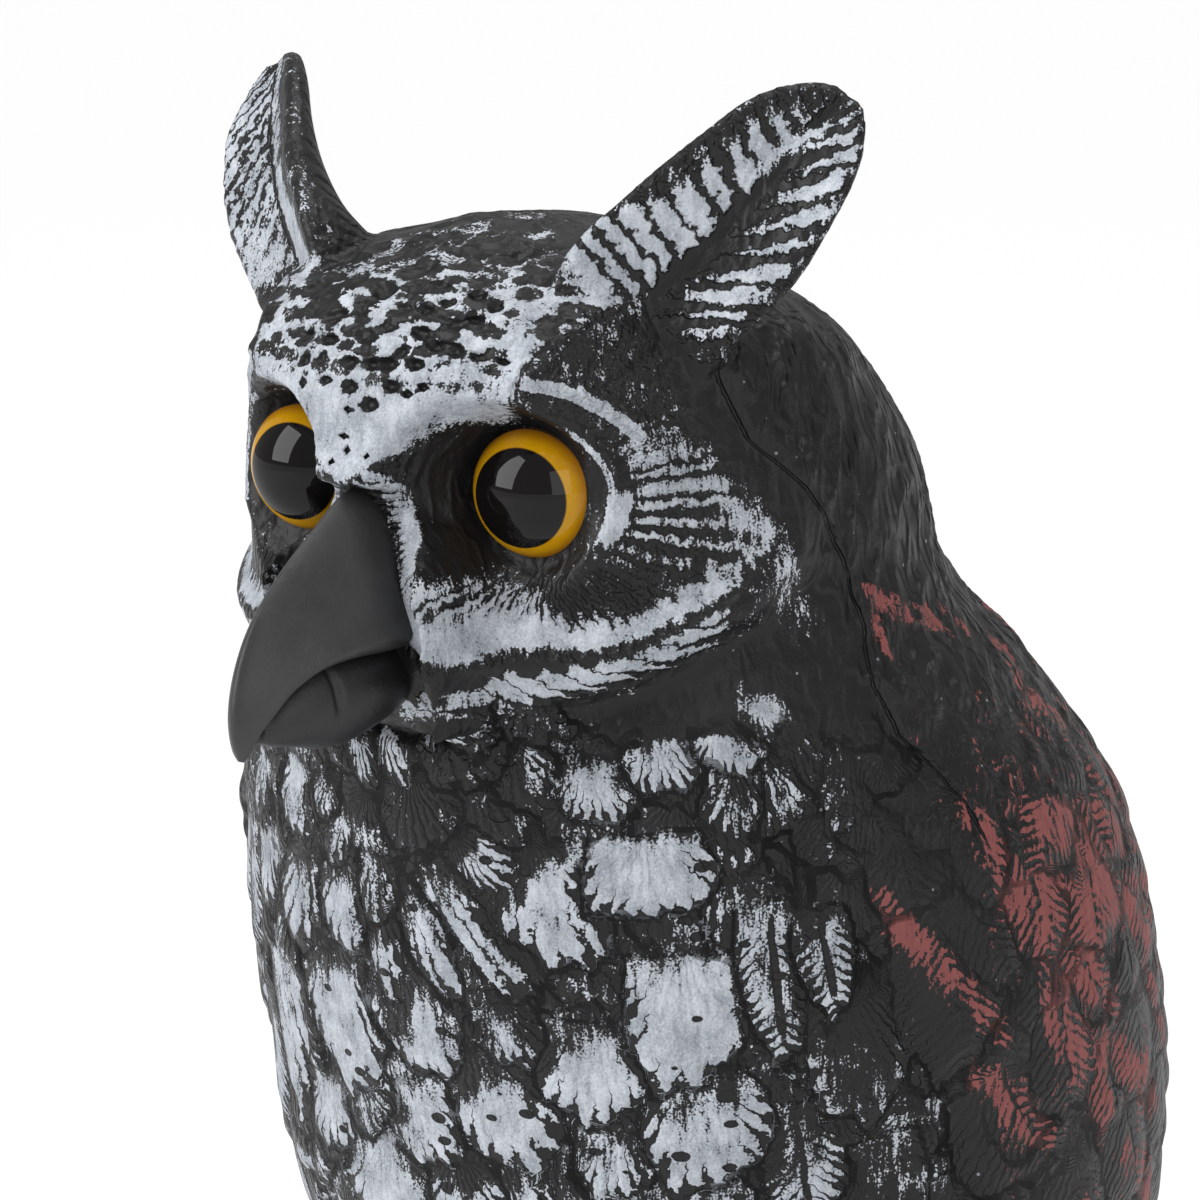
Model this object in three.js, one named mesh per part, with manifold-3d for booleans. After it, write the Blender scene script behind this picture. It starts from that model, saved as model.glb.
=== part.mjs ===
// Owl decoy: a moulded plastic horned owl standing on a low round plinth.
// Units are millimetres. +Z is up, the owl looks along -Y, and its left side is +X.
// The origin is the centre of the plinth's flat underside.
// Pieces: the moulded body with its ear tufts, wings, tail, feet and plinth in one,
// a hooked beak set into the face, and two domed eyes set into round seats.

import * as THREE from "three";
import { mergeVertices } from "three/addons/utils/BufferGeometryUtils.js";
import Module from "manifold-3d";

const wasm = await Module();
wasm.setup();

// Driving sizes
const OWL_HEIGHT = 400; // from the surface it stands on to the ear tips
const PLINTH_DIAMETER = 126;
const PLINTH_HEIGHT = 20;
const PLINTH_EDGE = 4; // rounding of the plinth's top edge
const EYE_DIAMETER = 24.2;
const EYE_RISE = 8; // height of the eye's dome above its rim
const EYE_SEAT = 6; // how deep the eye's shank goes behind its rim
const EYE_SIDES = 24;
const EYE_STEPS = 5;
const BEAK_HALF_WIDTH = 13.5; // at the face
const BEAK_ROOT = 14; // length of the beak's plug inside the face
const CLEARANCE = 0.3; // between the body and each piece set into it
const BREAST_FEATHER_RISE = 2.4;
const WING_FEATHER_RISE = 2.6;
const WING_STEP = 2.2; // the folded wing stands this far off the flank
const TOE_LENGTH = 34;
const TOE_RADIUS = 6.5;

// The figure's pose, proportions and carving are drawn once, as lists of sections and places, and keep to
// its own height. The head's centre stands this far in front of the plinth's centre, as drawn.
const HEAD_FORWARD = 50;

// Cross-sections of head and trunk, from the crown down, as drawn:
// height, half width, place of the widest line behind the head's centre, depth to the front, depth to the back.
const SECTIONS = [
  [371.5, 0, -14, 0, 0],
  [370.5, 12.5, -14, 15, 13],
  [366.5, 25.5, -12, 32, 26],
  [360, 40.5, -9, 50, 35],
  [352, 51.5, -5, 62.5, 42.5],
  [343, 56, -1.6, 70.5, 50.5],
  [333, 59, 2.1, 73.8, 57],
  [323, 61.3, 5, 76.5, 61.9],
  [313, 63, 5.5, 76, 65.3],
  [303, 64.6, 6.1, 74.2, 68.8],
  [293, 68.6, 9.8, 74.8, 73.4],
  [282, 74.8, 17.9, 76.9, 78.4],
  [261, 83.4, 28.2, 83.4, 83.8],
  [240, 89.2, 35.2, 86.2, 85.8],
  [219, 91.4, 39.8, 87, 86.3],
  [198, 91.2, 44.6, 87, 86.8],
  [177, 89.6, 46.8, 85.3, 86.4],
  [156, 85, 50, 79, 82],
  [135, 78, 53.5, 70, 77],
  [114, 69, 55, 60, 72],
  [93, 60.5, 55.5, 52, 65],
  [72, 54, 55, 46, 58],
  [51, 50, 54, 43, 51],
  [20, 48, 52, 42, 46],
];

// Ear tuft: a blade between an inner and an outer edge, its hollowed face turned forwards and outwards.
// Each station: inner edge, outer edge (as drawn), thickness behind the face.
const EAR = [
  [[20, -48, 352], [42, -32, 334], 18],
  [[28, -47, 366], [52, -31.5, 347], 18.5],
  [[32.5, -44.5, 373], [57, -30.5, 353.5], 16],
  [[37, -41, 378], [61.5, -28.5, 358], 12.6],
  [[42.5, -36, 384.5], [67, -26, 364.5], 9.8],
  [[48, -29, 391], [71, -23, 372.5], 8],
  [[53, -23, 396.5], [73.8, -19, 381], 7],
  [[58, -17.5, 399.3], [73.8, -14.5, 388], 5.7],
  [[62.5, -13, 400], [71.8, -11.5, 394.4], 4.5],
  [[65.5, -11.3, 399.2], [69, -10.8, 397], 2.5],
];

// From drawn sizes to built ones: the figure fills the height between the plinth and the ear tips.
const DRAWN_TOP = Math.max(...EAR.map(([inner]) => inner[2]));
const DRAWN_FOOT = SECTIONS[SECTIONS.length - 1][0];
const k = (OWL_HEIGHT - PLINTH_HEIGHT) / (DRAWN_TOP - DRAWN_FOOT);

const NECK_SECTION = 11; // the sections above this one are the head
const HEAD_ROWS = [1, 2, 2, 2, 3, 3, 4, 4, 4, 4, 3]; // rows of points in each section of the head
const TRUNK_ROWS = [3, 3, 3, 3, 3, 3, 2, 2, 2, 1, 1, 1];
const FEATHER_ROWS = 3;
const COLUMNS = 52;
const FEATHER_COLUMNS = 4;
const FRONT_CROWDING = 0.45; // columns stand this much closer at the front and wider at the back

// Places on the head, as drawn: x outwards, y behind the head's centre, z above the surface.
const EYE = { x: 26.7, y: -53.3, z: 325.1 };
const EYE_SPLAY = THREE.MathUtils.degToRad(1); // each eye looks this far outwards
const EYE_GAZE = THREE.MathUtils.degToRad(8); // and both are set this far to the owl's left
const EYE_DROP = THREE.MathUtils.degToRad(3.5); // and this far down
const MUZZLE = { halfWidth: 15, topHalfWidth: 8, top: 330, wideAt: 306, bottom: 281, rise: 9 }; // the face stands forward around the beak
const BROW = [
  [0, 327],
  [7, 331.5],
  [17, 336.5],
  [27, 342],
  [32, 350],
  [40, 360],
]; // lower edge of the brow, x and z
const DISC_RIM = [
  [13, 312],
  [13, 299],
  [22, 294.5],
  [38, 296],
  [49, 299.5],
  [57, 306],
  [60.5, 314],
  [60, 328],
]; // lower and outer rim of the facial disc, x and z
const RUFF = [
  [0, 276],
  [10, 282],
  [22, 287],
  [38, 290.5],
  [51, 296],
  [57, 302],
]; // collar of feathers below the disc, x and z
const EAR_ROOT = { x: 31, z: 359, radius: 9, rise: 3 }; // the brow swells into each ear
const PARTING_DROP = 5.5; // the rim and the collar each have a groove this far below
const WING_EDGE = [
  [266, 66],
  [251, 55],
  [241, 57],
  [219, 62],
  [195, 66],
  [165, 71],
  [135, 80],
  [105, 96],
  [80, 122],
  [60, 150],
]; // the wing's front edge: height, and degrees round from the breast

const clamp = (v) => Math.min(1, Math.max(0, v));
const smooth = (from, to, v) => {
  const t = clamp((v - from) / (to - from));
  return t * t * (3 - 2 * t);
};
const bump = (distance, width) => Math.exp(-((distance / width) ** 2));

// A Catmull-Rom curve through the rows of a table, at row number t.
function along(table, t) {
  const i = Math.min(table.length - 2, Math.floor(t));
  const f = t - i;
  const row = (n) => table[Math.min(table.length - 1, Math.max(0, n))];
  return table[i].map((_, c) => {
    const [a, b, d, e] = [row(i - 1)[c], row(i)[c], row(i + 1)[c], row(i + 2)[c]];
    return b + 0.5 * f * (d - a + f * (2 * a - 5 * b + 4 * d - e + f * (3 * (b - d) + e - a)));
  });
}

// The value of a falling table at height z, joined by straight lines.
function atHeight(table, z) {
  if (z >= table[0][0]) return table[0][1];
  const i = table.findIndex((row) => z > row[0]);
  if (i < 0) return table[table.length - 1][1];
  const [[z0, v0], [z1, v1]] = [table[i - 1], table[i]];
  return v0 + ((v1 - v0) * (z0 - z)) / (z0 - z1);
}

// Distance in x and z from a point to a line of points.
function distanceTo(line, x, z) {
  let best = Infinity;
  for (let i = 1; i < line.length; i += 1) {
    const [[ax, az], [bx, bz]] = [line[i - 1], line[i]];
    const [dx, dz] = [bx - ax, bz - az];
    const t = clamp(((x - ax) * dx + (z - az) * dz) / (dx * dx + dz * dz));
    best = Math.min(best, Math.hypot(x - ax - t * dx, z - az - t * dz));
  }
  return best;
}

// Angle round the owl of a column, 0 at the breast.
function angleOf(column) {
  const turn = (2 * Math.PI * column) / COLUMNS;
  return turn - FRONT_CROWDING * Math.sin(turn);
}

// The plain form, without carving, at section number t.
function plainPoint(angle, t) {
  const [z, wide, middle, front, back] = along(SECTIONS, t);
  const c = Math.cos(angle);
  return new THREE.Vector3(wide * Math.sin(angle), middle - (c > 0 ? front : back) * c, z);
}

// One feather in a staggered field of overlapping feathers: low at its root, high at its rounded tip.
function feather(column, row) {
  let height = 0;
  for (const shift of [0, 1]) {
    const across = Math.abs(((column / FEATHER_COLUMNS + shift / 2 + 0.5) % 1) - 0.5); // 0 on the shaft
    const root = 2 * across - 0.5;
    const length = FEATHER_ROWS + 1 - 4 * across;
    const fromRoot = (row - shift * FEATHER_ROWS - root + 4 * FEATHER_ROWS) % (2 * FEATHER_ROWS);
    if (fromRoot <= length) height = (0.2 + (0.8 * fromRoot) / length) * (1 - 2 * across * across);
  }
  return height;
}

// The muzzle around the beak: narrow between the eyes and wide at the chin.
function muzzleSide(z) {
  const narrowing = smooth(MUZZLE.wideAt, MUZZLE.top, z);
  return MUZZLE.halfWidth + (MUZZLE.topHalfWidth - MUZZLE.halfWidth) * narrowing;
}

// How far the carving of the face stands off the plain form.
function faceRelief(x, z) {
  const rim = 2.8 * bump(distanceTo(DISC_RIM, x, z), 3.6);
  const ruff = 2.2 * bump(distanceTo(RUFF, x, z), 3.2);
  const [belowRim, belowRuff] = [DISC_RIM, RUFF].map((line) =>
    distanceTo(
      line.map(([lx, lz]) => [lx * 1.04, lz - PARTING_DROP]),
      x,
      z,
    ),
  );
  const partings = -1.2 * bump(belowRim, 2) - 2.2 * bump(belowRuff, 3.4);
  const around = Math.hypot(x - EYE.x, z - EYE.z);
  const lid = 2.2 * bump(around - 20.5, 2.6) * smooth(-4, 8, z - EYE.z) * smooth(-2, 8, x - EYE.x);
  const brow = 2.4 * bump(distanceTo(BROW, x, z), 4.5) + 0.8 * smooth(-2, 10, z - atBrow(x));
  const earRoot = EAR_ROOT.rise * bump(Math.hypot(x - EAR_ROOT.x, z - EAR_ROOT.z), EAR_ROOT.radius);
  const side = muzzleSide(z);
  const muzzle =
    MUZZLE.rise *
    (1 - smooth(side - 1, side + 8, x)) *
    smooth(MUZZLE.bottom - 8, MUZZLE.bottom + 5, z) *
    (1 - 0.5 * smooth(MUZZLE.bottom + 14, MUZZLE.top - 8, z)) *
    (1 - smooth(MUZZLE.top - 8, MUZZLE.top + 6, z));
  return rim + ruff + partings + lid + brow + earRoot + muzzle;
}

// Height of the brow's edge at a place across the face.
function atBrow(x) {
  const i = BROW.findIndex(([bx]) => x < bx);
  if (i < 0) return BROW[BROW.length - 1][1];
  const [[x0, z0], [x1, z1]] = [BROW[i - 1], BROW[i]];
  return z0 + ((z1 - z0) * (x - x0)) / (x1 - x0);
}

// The eye's hollow: how far forward the face may reach at a place near the eye.
function socketLimit(x, z) {
  const around = Math.hypot(x - EYE.x, z - EYE.z);
  const outside = Math.max(0, around - EYE_DIAMETER / 2 / k - 1.2);
  const inwards = clamp((EYE.x - x) / (around + 1));
  const upwards = clamp((z - EYE.z) / (around + 1));
  const steepness = 0.75 + 2.5 * inwards ** 2 + 2 * upwards ** 2;
  const side = muzzleSide(z);
  return EYE.y + 1.2 - steepness * outside - 22 * (1 - smooth(side - 3, side + 1.5, x));
}

// The farther back of two depths, with the crease between them rounded.
function softMax(a, b, round) {
  const blend = clamp(0.5 + (a - b) / (2 * round));
  return b + (a - b) * blend + round * blend * (1 - blend);
}

// A point of the carved body, with how far it stands off the plain form.
function bodyPoint(column, row, t) {
  const angle = angleOf(column);
  const p = plainPoint(angle, t);
  const step = 0.02;
  const sideways = plainPoint(angle + step, t).sub(plainPoint(angle - step, t));
  const downwards = plainPoint(angle, Math.min(t + step, SECTIONS.length - 1)).sub(
    plainPoint(angle, Math.max(t - step, 0)),
  );
  const out = downwards.cross(sideways).normalize();
  const plain = p.clone();
  const x = Math.abs(p.x);
  const degrees = Math.abs(THREE.MathUtils.radToDeg(angle > Math.PI ? angle - 2 * Math.PI : angle));
  const facing = 1 - smooth(72, 88, degrees);
  const trunk = smooth(NECK_SECTION - 0.3, NECK_SECTION + 0.6, t);
  const wingEdge = atHeight(WING_EDGE, p.z);
  const wing = smooth(wingEdge - 3, wingEdge + 4, degrees) * smooth(56, 76, p.z) * (1 - smooth(250, 274, p.z));
  const rise = WING_FEATHER_RISE * wing + BREAST_FEATHER_RISE * (1 - wing);
  const face = facing * faceRelief(x, p.z) * (1 - trunk);
  p.addScaledVector(out, face + trunk * smooth(40, 62, p.z) * rise * feather(column, row) + WING_STEP * wing);
  if (facing > 0 && t < NECK_SECTION - 1) p.y = softMax(p.y, socketLimit(x, p.z), 1.5);
  p.relief = p.distanceTo(plain) * Math.sign(p.clone().sub(plain).dot(out));
  return p;
}

// Where a drawn place on the owl stands.
function placed(p) {
  const q = new THREE.Vector3(p.x * k, (p.y - HEAD_FORWARD) * k, PLINTH_HEIGHT + (p.z - DRAWN_FOOT) * k);
  q.relief = p.relief;
  return q;
}

// A closed surface through rings of points, with a fan on each end. Each four-sided patch is split
// along the diagonal that keeps to one level of the carving, or the shorter one where there is none.
function loft(rings) {
  const n = rings[0].length;
  const ends = [rings[0], rings[rings.length - 1]].map((ring) =>
    ring.reduce((sum, p) => sum.add(p), new THREE.Vector3()).divideScalar(n),
  );
  const points = [...rings.flat(), ...ends];
  const positions = points.flatMap((p) => [p.x, p.y, p.z]);
  const gap = (p, q) => p.distanceTo(q) / 100 + (p.relief === undefined ? 0 : Math.abs(p.relief - q.relief));
  const triangles = [];
  const last = (rings.length - 1) * n;
  for (let r = 0; r < rings.length - 1; r += 1) {
    for (let c = 0; c < n; c += 1) {
      const [a, b] = [r * n + c, r * n + ((c + 1) % n)];
      const fallsRight = gap(points[a], points[b + n]) < gap(points[b], points[a + n]);
      if (fallsRight) triangles.push(a, a + n, b + n, a, b + n, b);
      else triangles.push(a, a + n, b, b, a + n, b + n);
    }
  }
  for (let c = 0; c < n; c += 1) {
    triangles.push(rings.length * n, c, (c + 1) % n);
    triangles.push(rings.length * n + 1, last + ((c + 1) % n), last + c);
  }
  const geometry = new THREE.BufferGeometry();
  geometry.setAttribute("position", new THREE.Float32BufferAttribute(positions, 3));
  geometry.setIndex(triangles);
  return geometry;
}

// three.js geometry to a solid for joining and cutting, and back.
function toSolid(geometry) {
  const bare = geometry.clone();
  for (const name of Object.keys(bare.attributes)) {
    if (name !== "position") bare.deleteAttribute(name);
  }
  const merged = mergeVertices(bare, 1e-4);
  const index = Array.from(merged.index.array);
  const kept = [];
  for (let i = 0; i < index.length; i += 3) {
    const [a, b, c] = index.slice(i, i + 3);
    if (a !== b && b !== c && a !== c) kept.push(a, b, c);
  }
  const mesh = new wasm.Mesh({
    numProp: 3,
    vertProperties: new Float32Array(merged.attributes.position.array),
    triVerts: new Uint32Array(kept),
  });
  const solid = new wasm.Manifold(mesh);
  if (solid.volume() > 0) return solid;
  const turned = kept.flatMap((_, i) => (i % 3 ? [] : [kept[i], kept[i + 2], kept[i + 1]]));
  return new wasm.Manifold(
    new wasm.Mesh({ numProp: 3, vertProperties: mesh.vertProperties, triVerts: new Uint32Array(turned) }),
  );
}

function toGeometry(solid) {
  const mesh = solid.getMesh();
  const geometry = new THREE.BufferGeometry();
  geometry.setAttribute("position", new THREE.Float32BufferAttribute(mesh.vertProperties, 3));
  geometry.setIndex(Array.from(mesh.triVerts));
  const flat = geometry.toNonIndexed();
  flat.computeVertexNormals();
  return flat;
}

// Head and trunk in one, carved with face, breast and wing feathers, and let into the plinth.
function trunkSolid() {
  const rings = [];
  [...HEAD_ROWS, ...TRUNK_ROWS].forEach((rows, section) => {
    for (let r = 0; r < rows; r += 1) rings.push(Math.max(0.5, section + r / rows));
  });
  rings.push(SECTIONS.length - 1);
  const neckRow = HEAD_ROWS.reduce((sum, rows) => sum + rows, 0);
  const points = rings.map((t, row) =>
    Array.from({ length: COLUMNS }, (_, c) => placed(bodyPoint(c, row - neckRow + 6 * FEATHER_ROWS, t))),
  );
  points.push(points[points.length - 1].map((p) => p.clone().setZ(PLINTH_HEIGHT - PLINTH_EDGE)));
  return toSolid(loft(points));
}

// Ear tuft, joined to the brow at its root.
const EAR_FACE = [0.56, -0.79, 0.25]; // the way an ear's face looks
const EAR_RIM = 1.6;
const EAR_HOLLOW = 2;
const EAR_SIDES = 14;

function earSolid(side) {
  const face = new THREE.Vector3(...EAR_FACE).normalize();
  const rings = EAR.map(([inner, outer, thickness]) => {
    const [a, b] = [new THREE.Vector3(...inner), new THREE.Vector3(...outer)];
    const centre = a.clone().lerp(b, 0.5);
    const across = b.clone().sub(a).multiplyScalar(0.5);
    const share = across.length() / 16;
    return Array.from({ length: EAR_SIDES }, (_, n) => {
      const turn = (2 * Math.PI * n) / EAR_SIDES;
      const inside = Math.abs(Math.sin(turn));
      const front = (EAR_RIM * 4 * inside * (1 - inside) - EAR_HOLLOW * inside ** 3) * share;
      const depth = Math.sin(turn) > 0 ? front : -thickness * inside;
      const p = centre.clone().addScaledVector(across, Math.cos(turn)).addScaledVector(face, depth);
      p.x *= side;
      return placed(p);
    });
  });
  return toSolid(loft(rings));
}

// Eye: a shank with a domed front, turned about its own axis. A gap makes the cutter for its seat.
function eyeGeometry(gap) {
  const rise = EYE_RISE + gap;
  const radius = EYE_DIAMETER / 2 + gap;
  const ball = (rise ** 2 + radius ** 2) / (2 * rise);
  const half = Math.asin(radius / ball);
  const profile = [new THREE.Vector2(0, -EYE_SEAT - gap), new THREE.Vector2(radius, -EYE_SEAT - gap)];
  for (let i = 0; i <= EYE_STEPS; i += 1) {
    const a = half * (1 - i / EYE_STEPS);
    profile.push(new THREE.Vector2(i < EYE_STEPS ? ball * Math.sin(a) : 0, ball * Math.cos(a) - ball + rise));
  }
  return new THREE.LatheGeometry(profile, EYE_SIDES);
}

function eyePlace(side) {
  const turn = EYE_SPLAY * side + EYE_GAZE;
  const looking = new THREE.Vector3(
    Math.sin(turn) * Math.cos(EYE_DROP),
    -Math.cos(turn) * Math.cos(EYE_DROP),
    -Math.sin(EYE_DROP),
  );
  const place = new THREE.Object3D();
  place.position.copy(placed(new THREE.Vector3(EYE.x * side, EYE.y, EYE.z)));
  place.quaternion.setFromUnitVectors(new THREE.Vector3(0, 1, 0), looking);
  place.updateMatrix();
  return place;
}

// Beak: an upper and a lower mandible in one moulding, with a straight plug inside the face.
// Each station: upper edge (y, z), lower edge (y, z), share of the half width.
const UPPER_MANDIBLE = [
  [-73, 326, -75, 298, 1],
  [-82.5, 320.6, -84, 297.5, 0.86],
  [-92, 314, -91.5, 295.5, 0.69],
  [-99.8, 306.9, -97.5, 291.5, 0.52],
  [-104.7, 299.4, -101.2, 287.5, 0.38],
  [-107.2, 291.5, -103.6, 284.5, 0.26],
  [-107.2, 285, -104.6, 281.6, 0.15],
  [-105.6, 280.6, -105, 280.3, 0.05],
];
const LOWER_MANDIBLE = [
  [-74, 300, -72, 278, 0.96],
  [-84, 299, -82.5, 278.6, 0.8],
  [-91.5, 296.5, -90.5, 280.6, 0.58],
  [-97, 292, -97, 281.8, 0.36],
  [-100.5, 287.5, -100.5, 283, 0.14],
];
const BEAK_SIDES = 14;

// The upper mandible narrows towards a ridge along its top, the lower one is round.
function mandible(stations, gap, ridged) {
  const [top, topZ, low, lowZ, width] = stations[0];
  const plug = [top + BEAK_ROOT + gap, topZ, low + BEAK_ROOT + gap, lowZ, width];
  const rings = [plug, ...stations].map(([y1, z1, y0, z0, share]) =>
    Array.from({ length: BEAK_SIDES }, (_, n) => {
      const turn = (2 * Math.PI * n) / BEAK_SIDES;
      const [out, up] = [Math.sin(turn), Math.cos(turn)];
      const narrowing = ridged && up > 0 ? 1 - 0.62 * up : 1;
      const p = placed(new THREE.Vector3(0, y0 + ((y1 - y0) * (up + 1)) / 2, z0 + ((z1 - z0) * (up + 1)) / 2));
      p.x = (BEAK_HALF_WIDTH * share * narrowing + gap) * out;
      p.z += gap * up;
      return p;
    }),
  );
  return toSolid(loft(rings));
}

function beakSolid(gap) {
  return mandible(UPPER_MANDIBLE, gap, true).add(mandible(LOWER_MANDIBLE, gap, false));
}

// Low round plinth with a rounded top edge and a flat underside.
function plinthSolid() {
  const r = PLINTH_DIAMETER / 2;
  const profile = [new THREE.Vector2(0, 0), new THREE.Vector2(r, 0)];
  for (let i = 0; i <= 3; i += 1) {
    const a = ((i / 3) * Math.PI) / 2;
    profile.push(
      new THREE.Vector2(
        r - PLINTH_EDGE + PLINTH_EDGE * Math.cos(a),
        PLINTH_HEIGHT - PLINTH_EDGE + PLINTH_EDGE * Math.sin(a),
      ),
    );
  }
  profile.push(new THREE.Vector2(0, PLINTH_HEIGHT));
  const lathe = new THREE.LatheGeometry(profile, 32);
  lathe.rotateX(Math.PI / 2);
  return toSolid(lathe);
}

// Three toes of each foot grip the front of the plinth's top.
const TOE_FAN = [-26, 0, 26]; // degrees between the toes
const TOE_KNUCKLES = [1, 1.05, 0.9, 1, 0.75, 0.35, 0.12];
const TOE_SIDES = 6;
const FOOT = { x: 21, y: -26 };

function toeSolid(side, turn) {
  const heading = THREE.MathUtils.degToRad(turn + side * 6);
  const ahead = new THREE.Vector3(Math.sin(heading), -Math.cos(heading), 0);
  const sideways = new THREE.Vector3(Math.cos(heading), Math.sin(heading), 0);
  const rings = TOE_KNUCKLES.map((share, i) => {
    const t = i / (TOE_KNUCKLES.length - 1);
    const radius = TOE_RADIUS * share;
    const centre = new THREE.Vector3(FOOT.x * side * k, FOOT.y * k, PLINTH_HEIGHT);
    centre.addScaledVector(ahead, TOE_LENGTH * t);
    centre.z += TOE_RADIUS * (0.75 + 0.35 * Math.sin(Math.PI * Math.min(1, t * 1.4))) * (t > 0.8 ? 0.45 : 1);
    return Array.from({ length: TOE_SIDES }, (_, n) => {
      const a = (2 * Math.PI * n) / TOE_SIDES;
      return centre
        .clone()
        .addScaledVector(sideways, radius * Math.cos(a))
        .add(new THREE.Vector3(0, 0, radius * Math.sin(a)));
    });
  });
  return toSolid(loft(rings));
}

// The tail hangs behind the plinth: a flat blade with five long feathers.
const TAIL = [
  [90, 132, 32, 16],
  [104, 104, 35, 15],
  [110, 74, 34, 12],
  [112, 46, 31, 9],
  [112, 28, 27, 7],
  [111.5, 21, 21, 5],
]; // as drawn: y behind the head's centre, height, half width, half thickness
const TAIL_SIDES = 20;

function tailSolid() {
  return toSolid(
    loft(
      TAIL.map(([y, z, half, thick]) =>
        Array.from({ length: TAIL_SIDES }, (_, n) => {
          const a = (2 * Math.PI * n) / TAIL_SIDES;
          const across = Math.cos(a);
          const flute = 1 + (n % 2 ? -0.12 : 0.12);
          const depth = thick * Math.sign(Math.sin(a)) * Math.sqrt(Math.abs(Math.sin(a))) * flute;
          return placed(new THREE.Vector3(half * across, y + depth - 4 * across * across, z));
        }),
      ),
    ),
  );
}

// Join the moulding, then cut the seats for the beak and the eyes.
let moulding = trunkSolid().add(plinthSolid()).add(tailSolid());
for (const side of [-1, 1]) {
  moulding = moulding.add(earSolid(side));
  for (const turn of TOE_FAN) moulding = moulding.add(toeSolid(side, turn));
}
moulding = moulding.subtract(beakSolid(CLEARANCE));
for (const side of [-1, 1]) {
  const seat = eyeGeometry(CLEARANCE);
  seat.applyMatrix4(eyePlace(side).matrix);
  moulding = moulding.subtract(toSolid(seat));
}

const BLACK_PLASTIC = new THREE.MeshStandardMaterial({ color: 0x2b2b2d, roughness: 0.55, metalness: 0 });
const BEAK_PLASTIC = new THREE.MeshStandardMaterial({ color: 0x38383a, roughness: 0.45, metalness: 0 });
const EYE_PLASTIC = new THREE.MeshStandardMaterial({ color: 0xc98a12, roughness: 0.08, metalness: 0 });

function named(name, geometry, material) {
  const mesh = new THREE.Mesh(geometry, material);
  mesh.name = name;
  return mesh;
}

const owl = new THREE.Group();
owl.name = "owl_decoy";
owl.add(named("body", toGeometry(moulding), BLACK_PLASTIC));
owl.add(named("beak", toGeometry(beakSolid(0)), BEAK_PLASTIC));
for (const [name, side] of [
  ["eye_left", 1],
  ["eye_right", -1],
]) {
  const eye = named(name, toGeometry(toSolid(eyeGeometry(0))), EYE_PLASTIC);
  const place = eyePlace(side);
  eye.position.copy(place.position);
  eye.quaternion.copy(place.quaternion);
  owl.add(eye);
}

export default owl;
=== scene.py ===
# A garden decoy: a horned owl moulded in black plastic, brushed with off-white and red-brown paint,
# with a set-in beak and domed eyes. Sizes in the tables are millimetres; the meshes are in metres.

import bpy
import numpy as np
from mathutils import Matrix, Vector, noise
from mathutils.kdtree import KDTree


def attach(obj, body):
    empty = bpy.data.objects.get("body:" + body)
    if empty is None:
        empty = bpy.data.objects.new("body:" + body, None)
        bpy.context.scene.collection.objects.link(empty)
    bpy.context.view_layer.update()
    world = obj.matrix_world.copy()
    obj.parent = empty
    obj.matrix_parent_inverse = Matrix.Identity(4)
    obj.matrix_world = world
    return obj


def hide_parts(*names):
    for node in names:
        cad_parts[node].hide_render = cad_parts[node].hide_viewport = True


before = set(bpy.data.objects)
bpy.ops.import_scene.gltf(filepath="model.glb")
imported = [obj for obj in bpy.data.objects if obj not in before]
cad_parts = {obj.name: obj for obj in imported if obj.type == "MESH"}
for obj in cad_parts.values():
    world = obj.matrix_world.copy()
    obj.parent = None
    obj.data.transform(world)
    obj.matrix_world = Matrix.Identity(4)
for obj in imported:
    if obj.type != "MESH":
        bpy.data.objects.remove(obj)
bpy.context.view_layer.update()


# Head and trunk
# The hollow body is one moulding: head, breast, folded wings and back, closed at the foot by the plinth.
# Its form runs through cross-sections, and the face is pressed and raised on that form.

# Each section: height, half width, place of its widest line, depth to the front, depth to the back.
body_sections = np.array([
    [371.5, 0, -14, 0, 0], [370.5, 12.5, -14, 15, 13], [366.5, 25.5, -12, 32, 26], [360, 40.5, -9, 50, 35],
    [352, 51.5, -5, 62.5, 42.5], [343, 56, -1.6, 70.5, 50.5], [333, 59, 2.1, 73.8, 57],
    [323, 61.3, 5, 76.5, 61.9], [313, 63, 5.5, 76, 65.3], [303, 64.6, 6.1, 74.2, 68.8],
    [293, 68.6, 9.8, 74.8, 73.4], [282, 74.8, 17.9, 76.9, 78.4], [261, 83.4, 28.2, 83.4, 83.8],
    [240, 89.2, 35.2, 86.2, 85.8], [219, 91.4, 39.8, 87, 86.3], [198, 91.2, 44.6, 87, 86.8],
    [177, 89.6, 46.8, 85.3, 86.4], [156, 85, 50, 79, 82], [135, 78, 53.5, 70, 77], [114, 69, 55, 60, 72],
    [93, 60.5, 55.5, 52, 65], [72, 54, 55, 46, 58], [51, 50, 54, 43, 51], [20, 48, 52, 42, 46],
])
neck_section = 11
head_forward = 50
eye_centre = (26.7, -53.3, 325.1)
eye_radius = 12.1
brow_edge = [(0, 327), (7, 331.5), (17, 336.5), (27, 342), (32, 350), (40, 360)]
disc_rim = [(13, 312), (13, 299), (22, 294.5), (38, 296), (49, 299.5), (57, 306), (60.5, 314), (60, 328)]
ruff_line = [(0, 276), (10, 282), (22, 287), (38, 290.5), (51, 296), (57, 302)]
wing_edge = np.array([
    (266, 66), (251, 55), (241, 57), (219, 62), (195, 66), (165, 71), (135, 80), (105, 96), (80, 122),
    (60, 150),
])
parting_line = np.array([
    (360, 66), (347, 68), (334, 69.5), (326, 75), (316, 80), (306, 83.5), (296, 82), (286, 75), (277, 73.5),
    (263, 77.5),
])
front_crowding = 0.45
foot_end = 12
seat_depth = 7


def smooth(start, end, value):
    share = np.clip((value - start) / (end - start), 0, 1)
    return share * share * (3 - 2 * share)


def bump(distance, width):
    return np.exp(-((distance / width) ** 2))


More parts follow.
